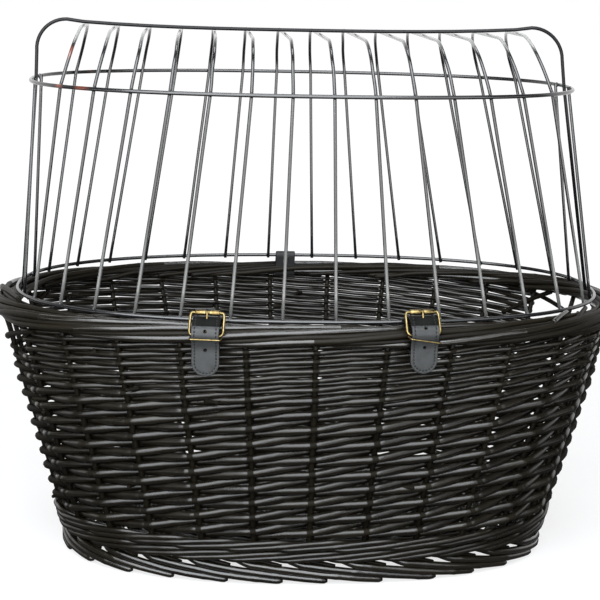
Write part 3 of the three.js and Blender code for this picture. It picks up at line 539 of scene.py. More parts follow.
WILLOW = willow_material("black_willow", (0.2, 0.4))
BENT_WILLOW = willow_material("dull_bent_willow", (0.6, 0.8), 0.15)
BORDER_WILLOW = willow_material("black_border_willow", (0.16, 0.3), 0.8, 0.45)
INNER_WILLOW = willow_material("dull_inner_willow", (0.4, 0.55), 0.2)
WIRE = wire_material("satin_black_wire", 1.0, 0.3)
DULL_WIRE = wire_material("dull_black_wire", 0.25, 0.0)
LEATHER_MAT = leather_material("black_leather", (0.0255, 0.0273, 0.028), (0.0435, 0.0463, 0.0475), 0.5)
LEATHER_EDGE = leather_material("black_leather_edge", (0.012, 0.012, 0.012), (0.024, 0.024, 0.024))
# Near-black leather as painted shade: the roller's shadow on the hanging strap, and a chape's outer face so
# the holes in the tail in front of it read as dark
LEATHER_PAINTED_SHADE = leather_material(
    "black_leather_painted_shade", (0.005, 0.0055, 0.005), (0.01, 0.011, 0.01), 0.7, 0.08)
BRASS = brass_material()
THREAD = thread_material()


# Willow

def rod_along(rods, path, base, seed, tone, bend=0.0):
    """Add a willow rod with a slight swelling at each bud.

    base gives its radius against the share of its length."""
    source = random.Random(seed)
    wobble = smooth_noise(seed + 1, 80, 22.0)
    along = lengths_along(path)
    buds = []
    place = source.uniform(0, 60)
    while place < along[-1]:
        buds.append(place)
        place += source.uniform(45, 95)
    radii = []
    for place in along:
        even = base(place / along[-1])
        radii.append(even * (1 + 0.045 * wobble(place)))
        for bud in buds:
            radii[-1] += even * BUD_SWELL * math.exp(-((place - bud) / BUD_LENGTH) ** 2)
    rods.add(path, radii, tone=tone, bend=bend)


def row_pitch(z):
    """The rods and their spacing thin out above the middle of the wall."""
    share = smooth_step((THINNING_Z[1] - z) / (THINNING_Z[1] - THINNING_Z[0]))
    return TOP_PITCH + (LOW_PITCH - TOP_PITCH) * share


def row_heights():
    heights = [RAND_LOW_Z]
    while heights[-1] < WALL_TOP_Z + 3 * TOP_PITCH:
        heights.append(heights[-1] + row_pitch(heights[-1]))
    return heights


def in_grip(bay, z):
    """Whether a place on the wall lies in an open grip, between the stakes at its two sides."""
    if z < GRIP_LOW_Z:
        return False
    return any(low < bay + turn < high for low, high in GRIP_BAYS for turn in (-2 * STAKES, -STAKES, 0))


def make_stakes():
    stakes = Rods("stakes", 12)
    for k in range(STAKES):
        source = random.Random(500 + k)
        wobble = smooth_noise(600 + k, 12, 28.0)
        path = []
        for z in np.linspace(STAKE_LOW_Z, STAKE_HIGH_Z, 32):
            x, y, z0 = wall_point(k + 0.012 * wobble(z), z, 0.5 * wobble(z + 40))
            path.append((x, y, z0 + rim_lift(k, z)))
        rod_along(stakes, path, lambda share: STAKE_RADIUS * (1.16 - 0.2 * share), 700 + k, source.random())
    return stakes


def kinked(place):
    """From -1 to 1 and back in nearly straight lines, turning sharply at whole numbers."""
    sharp = 0.985
    return math.asin(sharp * math.cos(math.pi * place)) / math.asin(sharp)


def end_share(place):
    """From 0 along the basket to 1 at its two ends, where the weave is pressed flatter."""
    return smooth_step((abs(place) - 0.84) / 0.12)


def make_rand():
    """French randing: each bay's rod goes behind one stake and before the next and climbs a row a bay."""
    rods = Rods("side_rods", 10)
    heights = row_heights()
    rows = len(heights)
    steps = (0, 0.045, 0.08, 0.13, 0.22, 0.34, 0.5, 0.66, 0.78, 0.87, 0.92, 0.955)
    places = [row + step for row in range(rows - 1) for step in steps]
    for j in range(STAKES):
        lift = smooth_noise(1000 + j, rows + 2, 1.0)
        bulge = smooth_noise(2000 + j, rows + 2, 1.0)
        thick = smooth_noise(2500 + j, rows + 2, 3.0)
        tone = random.Random(j).random()
        runs = [[]]
        for s in places:
            row = int(s)
            pitch = heights[row + 1] - heights[row]
            z = heights[row] + pitch * (s - row) + 0.08 * pitch * lift(s)
            radius = ROD_FILL * pitch * (1 + 0.05 * thick(s))
            bay = j + s
            if z > WALL_TOP_Z + 8 or in_grip(bay, z):
                runs.append([])
                continue
            weave = kinked(s)
            pressed = end_share(wall_point(bay, z)[0] / wall_half(z)[0])
            radius *= 1 - PRESSED_THIN * pressed
            out = -weave * (STAKE_RADIUS + radius - 0.2) * (1 - PRESSED_FLAT * pressed) + 0.4 * bulge(s)
            x, y, z = wall_point(bay, z, out)
            sag = BEHIND_SAG * y / wall_half(z)[1] * max(weave, 0.0)
            bend = 1.0 if abs(s - round(s)) < 0.05 else 0.0
            dull = max(bend, 1.0 if pressed > 0.5 else 0.0)
            runs[-1].append((x, y, z + sag + rim_lift(bay, z), radius * (1 - 0.14 * bend), dull))
        runs = [np.array(run) for run in runs if len(run) > len(steps)]
        for k, run in enumerate(runs):
            along = lengths_along(run[:, :3])
            shares = along / along[-1]
            rod_along(rods, run[:, :3], lambda share: float(np.interp(share, shares, run[:, 3])),
                      3000 + 10 * j + k, (tone + 0.31 * k) % 1, run[:, 4])
    return rods


def make_grip_rods(rods):
    """A few border ends cross each open grip at a slant."""
    for end in (0.5, 13.5):
        for k, (bay0, z0, bay1, z1) in enumerate(GRIP_RODS):
            path = []
            for t in np.linspace(0, 1, 15):
                bay = end + bay0 + (bay1 - bay0) * t
                z = z0 + (z1 - z0) * t + 1.5 * math.sin(math.pi * t)
                path.append(wall_point(bay, z, (-1) ** k * (STAKE_RADIUS + 1.3)))
            rod_along(rods, path, lambda share: 2.3 - 0.4 * share, 5200 + int(end) + k, 0.2 + 0.1 * k, 1.0)


def make_wale():
    """Two rounds of three-rod waling: each rod climbs before two stakes and drops back behind the third."""
    rods = Rods("wale_rods", 10)
    steps = 14
    for turn in range(WALE_ROUNDS):
        middle = WALE_LOW_Z + turn * WALE_PITCH
        for m in range(3):
            lift = smooth_noise(4000 + 10 * turn + m, 30, 1.0)
            path = []
            for n in range(STAKES * steps):
                s = n / steps
                phase = (s - m - turn) % 3
                behind = math.exp(-(min(phase, 3 - phase) / 0.42) ** 2)
                out = (STAKE_RADIUS + WALE_ROD) * (1 - 2 * behind) - 0.5 * math.cos(TAU * s)
                z = middle + WALE_CLIMB * (phase - 1.5) * (1 - behind) + 0.35 * lift(s)
                path.append(wall_point(s, z, out))
            rods.add(path, WALE_ROD, tone=0.2 + 0.3 * m, closed=True)
    return rods


def make_foot():
    """The foot border: each stake turns down behind the next one, comes out and runs down to a cut tip."""
    rods = Rods("foot_strands", 10)
    for k in range(STAKES):
        source = random.Random(8000 + k)
        wobble = smooth_noise(8100 + k, 12, 0.4)
        length = FOOT_RUN + source.uniform(-0.1, 0.1)
        path = []
        for place in np.linspace(-0.95, length, 56):
            front = max(place, 0.0)
            behind = smooth_step(-place / 0.6)
            z = FOOT_START_Z - FOOT_FALL * front + 0.5 * front * front + FOOT_TUCK * behind
            out = 0.7 * math.sin(math.pi * front / length) - FOOT_TUCK * behind - 3.2
            x, y = oval(FOOT_HALF, bay_angle(k + place), out + 0.3 * wobble(place + 1))
            path.append((x, y, max(z + 0.25 * wobble(place + 2), FOOT_LOWEST_Z)))
        rod_along(rods, path, foot_taper, 8200 + k, source.random())
        partner = []
        for t in np.linspace(0, 1, 12):
            x, y = oval(FOOT_HALF, bay_angle(k - 0.1 + 0.6 * t), -8.0 + 1.5 * t)
            partner.append((x, y, 21.5 - 6.5 * t + 0.4 * wobble(t)))
        rod_along(rods, partner, lambda share: 2.5 - 0.3 * share, 8500 + k, source.random(), 1.0)
    return rods


def foot_taper(share):
    """A foot strand thins along its run and its cut tip is bevelled."""
    tip = max(0.0, (share - 0.972) / 0.028)
    return (FOOT_ROD - 0.45 * share * share) * (1 - 0.5 * tip * tip)


def make_border():
    """The rolled border: each stake turns out under it and climbs over it in a long slant to the right."""
    rods = Rods("border_strands", 10)
    low, high = BORDER_TURN
    for k in range(STAKES):
        source = random.Random(9000 + k)
        length = BORDER_RUN + source.uniform(-0.5, 0.7)
        wobble = smooth_noise(9100 + k, 20, 0.09)
        thick = (BORDER_ROD + BORDER_EXTRA * ((k + 1) % 2)) * source.uniform(0.94, 1.06)
        sunk = BORDER_SUNK * (k % 2)
        half_wide, half_tall = RIM_HALF_WIDE - thick - sunk, RIM_HALF_TALL - thick - sunk
        shine_from = SHINE_FROM + 16 * (3 * k % 4)
        shine_to = (SHINE_TO if k % 4 else SHINE_FAR_TO) + 12 * (k % 3)
        path, dull = [], []
        for t in np.linspace(0, 1, 96):
            turn = low + (high - low) * t + 0.10 * wobble(t)
            out = half_wide * signed_power(math.cos(turn), BORDER_ROUND) + BORDER_WOBBLE * wobble(t + 0.3)
            up = half_tall * signed_power(math.sin(turn), BORDER_ROUND) + BORDER_WOBBLE * wobble(t + 0.6)
            up += 5.5 * max(0.0, 1 - t / 0.03)
            angle = bay_angle(k + length * t)
            x, y = oval(RIM_HALF, angle, out)
            path.append((x, y, rim_mid_z(oval(RIM_HALF, angle)[1]) + up))
            shines = k % 2 == 0 and shine_from < x < shine_to and (y < 0 or out > 5)
            dull.append(0.0 if shines or (y > 0 and out > 5) else 1.0)
        rod_along(rods, path, lambda share: thick * (1.05 - 0.16 * share), 9300 + k, source.random(), dull)
    for k, (tail, tip) in enumerate(LOOSE_ENDS):
        tail, tip = np.array(tail), np.array(tip)
        rise = np.array([0, 0, 0.8])
        path = [tail + (tip - tail) * n / 8 + rise * math.sin(math.pi * n / 8) for n in range(9)]
        rod_along(rods, path, lambda share: 2.3 - 0.3 * share, 9700 + k, 0.5, 1.0 if k else 0.0)
    for out in (-5, 0, 5):
        ring = [oval(RIM_HALF, TAU * n / 240, out) for n in range(240)]
        rods.add([(x, y, rim_mid_z(y)) for x, y in ring], BORDER_CORE, tone=0.1, closed=True)
    return rods


def make_base():
    """The bottom: sticks across it and rods woven along it round and round."""
    rods = Rods("base_rods", 8)
    half = (FOOT_HALF[0] - BASE_INSET, FOOT_HALF[1] - BASE_INSET)
    for x in range(-150, 151, 30):
        end = reach(half, x) - 2
        stick = [(x, y, BASE_Z) for y in np.linspace(-end, end, 13)]
        rod_along(rods, stick, lambda share: 2.6, 100 + x, 0.4)
    for y in (-9, -3, 3, 9):
        stick = [(x, y, BASE_Z) for x in np.linspace(-200, 200, 31)]
        rod_along(rods, stick, lambda share: 2.4, 300 + y, 0.5)
    rounds = 19
    pitch = 5.4
    radials = 44
    for turn in range(rounds):
        here = (half[0] - pitch * turn - 2, half[1] - pitch * turn - 2)
        path = []
        for n in range(radials * 5):
            s = n / 5
            x, y = oval(here, TAU * s / radials)
            path.append((x, y, BASE_Z + (-1) ** turn * BASE_WAVE * math.cos(math.pi * s)))
        rods.add(path, 2.35, tone=(turn * 0.37) % 1, closed=True)
    return rods


def make_cut_ends(rods):
    """Short butts and tips that poke out of the weave."""
    source = random.Random(77)
    for k in range(CUT_ENDS):
        bay = source.uniform(0, STAKES)
        z = source.uniform(36, 215)
        side = 1 if source.random() < 0.45 else -1
        slant = source.uniform(-0.25, 0.25)
        reach_out = source.uniform(5.5, 9.5)
        path = []
        for t in np.linspace(0, 1, 7):
            path.append(wall_point(bay + slant * t, z + 4 * slant * t, side * (1.0 + reach_out * t)))
        rod_along(rods, path, lambda share: 1.9 - 0.3 * share, 7700 + k, source.random(), 1.0)


def make_willow():
    make_stakes().build(INNER_WILLOW, "basket", "willow")
    rand = make_rand()
    make_grip_rods(rand)
    make_cut_ends(rand)
    rand.build(WILLOW, "basket", "willow", "side_weave", bent=BENT_WILLOW)
    make_wale().build(WILLOW, "basket", "willow", "upsett_wale")
    make_foot().build(BORDER_WILLOW, "basket", "willow", "foot_border", bent=INNER_WILLOW)
    make_border().build(BORDER_WILLOW, "basket", "willow", "rim_border_with_stakes", bent=INNER_WILLOW)
    make_base().build(WILLOW, "basket", "willow", "base_weave")


# Cage

def lean_x(z):
    """The cage leans to the left as it rises."""
    return CAGE_LEAN * (z - LOWER_RING_Z) / (ROOF_Z - LOWER_RING_Z)


def fan_x(k, fan):
    """Where hoop k stands along a fan, given as its half length and its angle."""
    return fan[0] * math.sin(fan[1] * (2 * k / (HOOPS - 1) - 1)) / math.sin(fan[1])


def roof_z(x):
    return ROOF_Z + ROOF_LIFT * abs(x / ROOF_FAN[0]) ** 3


def hoop_path(k):
    """A hoop from its front foot inside the lower ring, over the roof and down to its back foot."""
    inset = RING_WIRE + HOOP_WIRE + WELD_GAP
    even_x = fan_x(k, FOOT_FAN)
    foot_x = even_x + FOOT_SKEW * (1 - (even_x / FOOT_FAN[0]) ** 2)
    waist_x, crown_x = fan_x(k, WAIST_FAN), fan_x(k, ROOF_FAN)
    foot_y = reach((LOWER_HALF[0] - inset, LOWER_HALF[1] - inset), foot_x)
    waist_y = reach((UPPER_HALF[0] - inset, UPPER_HALF[1] - inset), waist_x)
    bend = roof_z(crown_x) - UPPER_RING_Z
    slope = (LOWER_RING_Z - LEG_TIP - UPPER_RING_Z) / (LOWER_RING_Z - UPPER_RING_Z)
    top = np.array([waist_x + lean_x(UPPER_RING_Z), waist_y, UPPER_RING_Z])
    foot = np.array([foot_x, foot_y, LOWER_RING_Z])
    tip = top + (foot - top) * slope
    half = list(np.linspace(tip, top, 8, endpoint=False))
    for turn in np.linspace(0, math.pi / 2, 15):
        rise = math.sin(turn)
        z = UPPER_RING_Z + bend * rise
        x = waist_x + (crown_x - waist_x) * rise + lean_x(z)
        half.append(np.array([x, waist_y - bend * (1 - math.cos(turn)), z]))
    front = [np.array([p[0], -p[1], p[2]]) for p in half]
    return front + half[::-1]


def ridge_path():
    """The wire up one end, over all hoops and down the other end."""
    over = HOOP_WIRE + RIDGE_WIRE + WELD_GAP
    inset = RING_WIRE + RIDGE_WIRE + WELD_GAP
    end_x = UPPER_HALF[0] - inset
    top_z = roof_z(ROOF_FAN[0]) + over + RIDGE_HUMP
    halves = []
    for side in (-1, 1):
        run = [(side * (LOWER_HALF[0] - inset), 0, LOWER_RING_Z - LEG_TIP), (side * end_x, 0, UPPER_RING_Z)]
        for turn in np.linspace(0, math.pi / 2, 13):
            x = end_x - 2 - RIDGE_BEND * (1 - math.cos(turn))
            run.append((side * x, 0, top_z - RIDGE_BEND * (1 - math.sin(turn))))
        run = [(x + lean_x(z), y, z) for x, y, z in run]
        halves.append(run if side < 0 else run[::-1])
    roof = []
    for k in range(HOOPS):
        x = fan_x(k, ROOF_FAN)
        roof.append((x + lean_x(roof_z(x)), 0, roof_z(x) + over))
    return halves[0] + roof + halves[1]


def strut_path(side, face):
    """A short wire between the rings at one end, before or behind the ridge wire."""
    inset = RING_WIRE + HOOP_WIRE + WELD_GAP

    def inside_ring(half, y, z):
        x = reach((half[1] - inset, half[0] - inset), y)
        return np.array([side * x + lean_x(z), face * y, z])
    top = inside_ring(UPPER_HALF, STRUT_TOP_Y, UPPER_RING_Z)
    foot = inside_ring(LOWER_HALF, STRUT_FOOT_Y, LOWER_RING_Z)
    along = (top - foot) / np.linalg.norm(top - foot)
    return np.linspace(foot - along * LEG_TIP, top + along * LEG_TIP, 11)


def ring_path(half, z, offset_x=0.0, count=180):
    points = [oval(half, TAU * n / count) for n in range(count)]
    return [(x + offset_x, y, z) for x, y in points]


def weld_blob(rods, point):
    """A small bead of weld, longer up and down than across."""
    x, y, z = point
    profile = ((-1, 0.3), (-0.7, 0.8), (-0.2, 1), (0.2, 1), (0.7, 0.8), (1, 0.3))
    rods.add([(x, y, z + WELD_HALF_LONG * t) for t, _ in profile],
             [WELD_RADIUS * share for _, share in profile], tone=0.0)


def hoop_painted_light(path):
    """Painted light: the coating is painted lighter grey along the roof and low on the front legs, where they
    catch the light.
    """
    coat_change = []
    for _, y, z in path:
        roof = min(max((z - ROOF_Z + 8) / 6, 0.0), 1.0) * (1 - (y / PAINTED_LIGHT_ROOF_HALF) ** 4)
        leg = 0.5 * min(max((PAINTED_LIGHT_LEG_TOP_Z - z) / 60, 0.0), 1.0) if y < 0 else 0.0
        coat_change.append(max(leg, roof))
    return coat_change


def make_wire(name, path, radius, closed=False, welds=(), tone=0.0, material=WIRE):
    """One wire of the cage with its welds, rusty near the rust spots."""
    rods = Rods(name, 12)
    rust = [max(max(0.0, 1 - math.dist(p, spot) / RUST_REACH) for spot in RUST_SPOTS) ** 0.5 for p in path]
    rods.add(path, radius, closed=closed, tone=tone, bend=rust)
    for place in welds:
        weld_blob(rods, place)
    rods.build(material, "lid", "wire", f"cage_{name}")


def make_cage():
    make_wire("lower_ring", ring_path(LOWER_HALF, LOWER_RING_Z), RING_WIRE, closed=True)
    upper_ring = ring_path(UPPER_HALF, UPPER_RING_Z, lean_x(UPPER_RING_Z))
    make_wire("upper_ring", upper_ring, RING_WIRE, closed=True)
    for k in range(HOOPS):
        path = hoop_path(k)
        sway = smooth_noise(60 + k, 40, 3.0)
        path = [p + np.array([0.8 * sway(n), 0, 0]) * min(n, len(path) - 1 - n) / len(path)
                for n, p in enumerate(path)]
        welds = []
        for n, z in ((0, LOWER_RING_Z), (-1, LOWER_RING_Z), (8, UPPER_RING_Z), (-9, UPPER_RING_Z)):
            x, y = path[n][:2]
            welds.append((x, y + math.copysign(WELD_OUT, y), z))
        make_wire(f"hoop_{k + 1:02d}", path, HOOP_WIRE, welds=welds, tone=hoop_painted_light(path))
    make_wire("ridge_wire", ridge_path(), RIDGE_WIRE, material=DULL_WIRE)
    for side_name, side in (("left", -1), ("right", 1)):
        for face_name, face in (("front", -1), ("back", 1)):
            path = strut_path(side, face)
            welds = [(path[n][0] + side * WELD_OUT, path[n][1], z)
                     for n, z in ((0, LOWER_RING_Z), (-1, UPPER_RING_Z))]
            make_wire(f"strut_{side_name}_{face_name}", path, HOOP_WIRE, welds=welds)


# Straps

# Distances in a strap's own frame: outward is -Y, and heights count from the border's middle
RIM_FRONT = -RIM_HALF_WIDE
RIM_INNER = RIM_HALF_WIDE
TUCK_TOP = -RIM_HALF_TALL - SEAT
CHAPE_BACK = RIM_FRONT - 2 * KEEPER_WIRE - 2 * SEAT
HEEL_Y = CHAPE_BACK - LEATHER - EYE
CHAPE_FRONT = HEEL_Y - EYE - LEATHER
ROLLER_Y = HEEL_Y + REACH * math.sin(TILT)


class StrapFrame:
    """A strap's own frame: its origin in the middle of the border, -Y outward and square to the border."""

    def __init__(self, sizes):
        self.sizes = sizes
        x = sizes["x"]
        rim_y = -reach(RIM_HALF, x)
        ring_y = -reach(LOWER_HALF, x)
        share = abs(x / RIM_HALF[0]) ** (OVAL_POWER - 1) * RIM_HALF[1] / RIM_HALF[0]
        slope = math.copysign(share, x) * abs(rim_y / RIM_HALF[1]) ** (1 - OVAL_POWER)
        turn = math.atan(slope)
        self.ring_in = (ring_y - rim_y) * math.cos(turn)
        self.ring_up = LOWER_RING_Z - rim_mid_z(rim_y)
        self.roller_up = sizes["heel_up"] + REACH * math.cos(TILT)
        self.matrix = Matrix.Translation((x, rim_y, rim_mid_z(rim_y))) @ Matrix.Rotation(turn, 4, "Z")

    def place(self, points):
        return [tuple(self.matrix @ Vector(p)) for p in points]


def arc(centre, radius, low, high, steps):
    """Points of a circle from one angle to another."""
    return [(centre[0] + radius * math.cos(turn), centre[1] + radius * math.sin(turn))
            for turn in np.linspace(low, high, steps + 1)]


def smooth_line(points, steps=6):
    """A smooth line through the points, each a (y, z)."""
    points = [np.array(p, dtype=float) for p in points]
    line = []
    for k in range(len(points) - 1):
        before = points[max(k - 1, 0)]
        here, after = points[k], points[k + 1]
        beyond = points[min(k + 2, len(points) - 1)]
        for n in range(steps):
            t = n / steps
            line.append(0.5 * ((2 * here) + (after - before) * t
                               + (2 * before - 5 * here + 4 * after - beyond) * t * t
                               + (3 * here - before - 3 * after + beyond) * t ** 3))
    line.append(points[-1])
    return line


def even_line(line, spacing):
    """The same line with its points at even distances."""
    line = np.array(line)
    along = lengths_along(line)
    count = max(2, int(round(along[-1] / spacing)) + 1)
    places = np.linspace(0, along[-1], count)
    return np.stack([np.interp(places, along, line[:, i]) for i in range(line.shape[1])], axis=1)


def tail_line(strap):
    """A tail's way: up inside the border, over the ring, behind the roller and down in front."""
    half = LEATHER / 2
    heel_up = strap.sizes["heel_up"]
    roller_up = strap.roller_up
    over_ring = RING_WIRE + SEAT + half
    behind = ROLLER_RADIUS + 2 * SEAT + half
    over_heel = EYE + LEATHER + SEAT + half
    inside = RIM_INNER + SEAT + half
    hang = CHAPE_BACK - 2 * LEATHER - SEAT - half
    line = [(inside, TUCK_TOP + SEAT), (inside, TUCK_TOP + 8), (inside, strap.ring_up - RING_WIRE)]
    line += arc((strap.ring_in, strap.ring_up), over_ring, 0, math.pi / 2, 4)[1:]
    line += [(ROLLER_Y + behind, roller_up - behind * 1.2),
             (ROLLER_Y + behind * 0.25, roller_up - behind * 1.06),
             (HEEL_Y + 5.4, roller_up - behind * 1.08), (HEEL_Y + 2.6, roller_up - behind * 1.5),
             (HEEL_Y + 0.6, heel_up + 9.5), (HEEL_Y - over_heel * 0.72, heel_up + over_heel * 1.3),
             (HEEL_Y - over_heel * 0.98, heel_up + over_heel * 0.6), (HEEL_Y - over_heel, heel_up)]
    end_up = strap.sizes["end_up"]
    low = heel_up - 2 * over_heel
    return line + [(hang, low), (hang, (end_up + low) / 2), (hang, end_up)]


def strap_surface(strap, line, half_wide, thick, name, body, node, round_end=True):
    """A strip of leather with rounded edges, a groove for its stitches and a round or a square end.

    line is its middle line as (y, up); across the strip the grid runs from edge to edge. Its outer face is
    painted near-black just below the roller and all over a chape, as painted shade."""
    line = even_line(smooth_line(line), 0.8)
    n = len(line)
    tangents = np.gradient(line, axis=0)
    tangents /= np.linalg.norm(tangents, axis=1)[:, None]
    normals = np.stack([tangents[:, 1], -tangents[:, 0]], axis=1)
    insets = np.array([0, 0.25, 0.6, 1.1, 1.7, 2.1, 2.6, 3.1, 3.5, 4.3, 6.0, 8.5])
    shares = 1 - insets[insets < half_wide - 0.5] / half_wide
    across = np.concatenate([-shares, [0], shares[::-1]])
    columns = len(across)
    left_to_end = lengths_along(line[::-1])[::-1]
    vertices, faces, kinds = [], [], []
    grid = {}
    for i in range(n):
        in_end = round_end and left_to_end[i] < half_wide
        width = half_wide
        if in_end:
            width = math.sqrt(max(half_wide ** 2 - (half_wide - left_to_end[i]) ** 2, 0.6))
        for face in (1, -1):
            for j, share in enumerate(across):
                x = share * width
                inset = width - abs(x)
                if in_end:
                    inset = half_wide - math.hypot(x, half_wide - left_to_end[i])
                depth = thick / 2
                if inset < EDGE_ROUND:
                    depth -= EDGE_ROUND - math.sqrt(max(EDGE_ROUND ** 2 - (EDGE_ROUND - inset) ** 2, 0))
                if round_end and i == n - 1:
                    depth = 0.25
                if face == 1 and abs(inset - SEAM) < GROOVE_HALF:
                    depth -= GROOVE_DEPTH * math.cos(math.pi / 2 * (inset - SEAM) / GROOVE_HALF)
                y, z = line[i] + normals[i] * face * depth
                grid[(i, j, face)] = len(vertices)
                vertices.append((x, y, z))

    def add_quad(corners, turned, kind):
        quad = [grid[corner] for corner in corners]
        faces.append(tuple(quad[::-1] if turned else quad))
        kinds.append(kind)

    for i in range(n - 1):
        # Painted shade: below the roller the hanging side's outer face is painted near-black as the roller's
        # shadow, and a chape's whole outer face is painted near-black as the shade seen through the tail's
        # holes
        in_roller_shadow = line[i][0] < ROLLER_Y and line[i][1] > strap.roller_up - ROLLER_SHADOW_LENGTH
        for j in range(columns - 1):
            for face in (1, -1):
                corners = ((i, j, face), (i, j + 1, face), (i + 1, j + 1, face), (i + 1, j, face))
                add_quad(corners, face < 0, 2 if face == 1 and (in_roller_shadow or not round_end) else 0)
        for j in (0, columns - 1):
            add_quad(((i, j, 1), (i + 1, j, 1), (i + 1, j, -1), (i, j, -1)), j > 0, 1)
    for i in (0, n - 1):
        for j in range(columns - 1):
            add_quad(((i, j, 1), (i, j + 1, 1), (i, j + 1, -1), (i, j, -1)), i > 0, 1)
    mesh = plain_mesh(name, strap.place(vertices), faces)
    piece = finish_piece(name, mesh, LEATHER_MAT, body, [node])
    piece.data.materials.append(LEATHER_EDGE)
    piece.data.materials.append(LEATHER_PAINTED_SHADE)
    piece.data.polygons.foreach_set("material_index", kinds)
    return piece, line, normals


def punch(piece, strap, holes):
    """Cut round holes through the strap, each given as (x, y, up, radius, turn about X, depth)."""
    cutter_mesh = bmesh.new()
    for x, y, up, radius, tilt, deep in holes:
        matrix = (Matrix.Translation((0, SHIFT_Y * MM, 0)) @ Matrix.Scale(MM, 4) @ strap.matrix
                  @ Matrix.Translation((x, y, up)) @ Matrix.Rotation(tilt, 4, "X"))
        bmesh.ops.create_cone(cutter_mesh, cap_ends=True, segments=20, radius1=radius, radius2=radius,
                              depth=deep, matrix=matrix)
    mesh = bpy.data.meshes.new("punch")
    cutter_mesh.to_mesh(mesh)
    cutter_mesh.free()
    cutter = bpy.data.objects.new("punch", mesh)
    bpy.context.scene.collection.objects.link(cutter)
    modifier = piece.modifiers.new("holes", "BOOLEAN")
    modifier.object = cutter
    modifier.solver = "EXACT"
    modifier.operation = "DIFFERENCE"
    apply_modifiers(piece)
    bpy.data.objects.remove(cutter)


def apply_modifiers(piece):
    graph = bpy.context.evaluated_depsgraph_get()
    graph.update()
    solid = bpy.data.meshes.new_from_object(piece.evaluated_get(graph))
    piece.modifiers.clear()
    piece.data = solid


def stitches(strap, name, line, normals):
    """Short dark stitches down both edges of a tail and round its end."""
    rods = Rods(name, 6)
    along = lengths_along(line)
    inner = STRAP_HALF - SEAM
    end = along[-1] - STRAP_HALF
    places = np.arange(STITCH_FIRST, end, 0.5)
    route = [(-inner, p) for p in places]
    route += arc((0, end), inner, math.pi, 0, 29)
    route += [(inner, p) for p in places[::-1]]
    route = even_line(route, 0.4)
    steps = lengths_along(route)
    for k in range(int(steps[-1] / STITCH_PITCH)):
        points = []
        for n in range(5):
            place = k * STITCH_PITCH + STITCH_LENGTH * n / 4
            x, p = (np.interp(place, steps, route[:, i]) for i in (0, 1))
            y, z = (np.interp(p, along, line[:, i]) for i in (0, 1))
            ny, nz = (np.interp(p, along, normals[:, i]) for i in (0, 1))
            proud = LEATHER / 2 + 0.15 * math.sin(math.pi * n / 4) - 0.3
            points.append((x, y + ny * proud, z + nz * proud))
        rods.add(strap.place(points), 0.6)
    rods.build(THREAD, "lid", "leather")


def make_tail(side, strap):
    piece, line, normals = strap_surface(
        strap, tail_line(strap), STRAP_HALF, LEATHER, f"strap_{side}", "lid", f"strap_{side}_tail")
    holes = []
    for k in range(2):
        up = strap.sizes["hole_up"] - k * HOLE_PITCH
        near = line[np.argmin(abs(line[:, 1] - up) + 100 * (line[:, 0] > HEEL_Y))]
        holes.append((0, near[0], near[1], HOLE_RADIUS, math.pi / 2, 9))
    holes.append((0, HEEL_Y + 5.4, strap.roller_up - 4.2, TONGUE_HOLE_RADIUS, -TONGUE_LEAN, 7))
    punch(piece, strap, holes)
    stitches(strap, f"strap_{side}_stitches", line, normals)


def make_chape(side, strap):
    heel_up = strap.sizes["heel_up"]
    middle = EYE + LEATHER / 2
    loop = [(RIM_INNER - 0.2, TUCK_TOP - LEATHER / 2), (0, TUCK_TOP - LEATHER / 2),
            (RIM_FRONT - 0.5, TUCK_TOP - LEATHER / 2), (CHAPE_BACK - LEATHER / 2, TUCK_TOP + 1.2),
            (CHAPE_BACK - LEATHER / 2, TUCK_TOP + 5), (CHAPE_BACK - LEATHER / 2, heel_up - 3)]
    loop += arc((HEEL_Y, heel_up), middle, 0, math.pi, 6)
    fold = CHAPE_BACK - 1.5 * LEATHER - 0.05
    loop += [(fold - 0.4, heel_up - 4.5), (fold, heel_up - 8), (fold, TUCK_TOP + 1.5)]
    strap_surface(strap, loop, CHAPE_HALF, LEATHER - 0.1, f"chape_{side}", "basket", f"strap_{side}_chape",
                  round_end=False)


def lathe(name, strap, profile, centre, body, node, segments=32):
    """A turned piece about its own X axis: profile is (radius, x) going once round its section."""
    vertices = [(x, centre[0] + radius * math.cos(a), centre[1] + radius * math.sin(a))
                for a in np.arange(segments) * TAU / segments for radius, x in profile]
    faces = tube_faces(segments, len(profile), closed=True)
    piece = finish_piece(name, plain_mesh(name, strap.place(vertices), faces), BRASS, body, [node])
    split = piece.modifiers.new("edges", "EDGE_SPLIT")
    split.split_angle = math.radians(40)
    apply_modifiers(piece)


def frame_outline():
    """The buckle frame's middle line as (x, distance from the heel bar)."""
    corner_x = BUCKLE_HALF - BUCKLE_CORNER
    flank = REACH - BUCKLE_FLARE
    half = []
    for n in range(1, 9):
        t = n / 8
        x = (1 - t) ** 2 * BUCKLE_TOP_HALF + 2 * t * (1 - t) * BUCKLE_HALF + t * t * BUCKLE_HALF
        y = (1 - t) ** 2 * REACH + 2 * t * (1 - t) * REACH + t * t * flank
        half.append((x, y))
    half += [(BUCKLE_HALF, flank - (flank - BUCKLE_CORNER) * n / 4) for n in range(1, 4)]
    half += arc((corner_x, BUCKLE_CORNER), BUCKLE_CORNER, 0, -math.pi / 2, 8)
    line = [(-BUCKLE_TOP_HALF + 0.01, REACH)]
    line += [(-x, y) for x, y in half]
    line += [(-corner_x + 2 * corner_x * n / 6, 0) for n in range(1, 6)]
    line += half[::-1]
    line += [(BUCKLE_TOP_HALF - 2 * BUCKLE_TOP_HALF * n / 6, REACH) for n in range(6)]
    return line


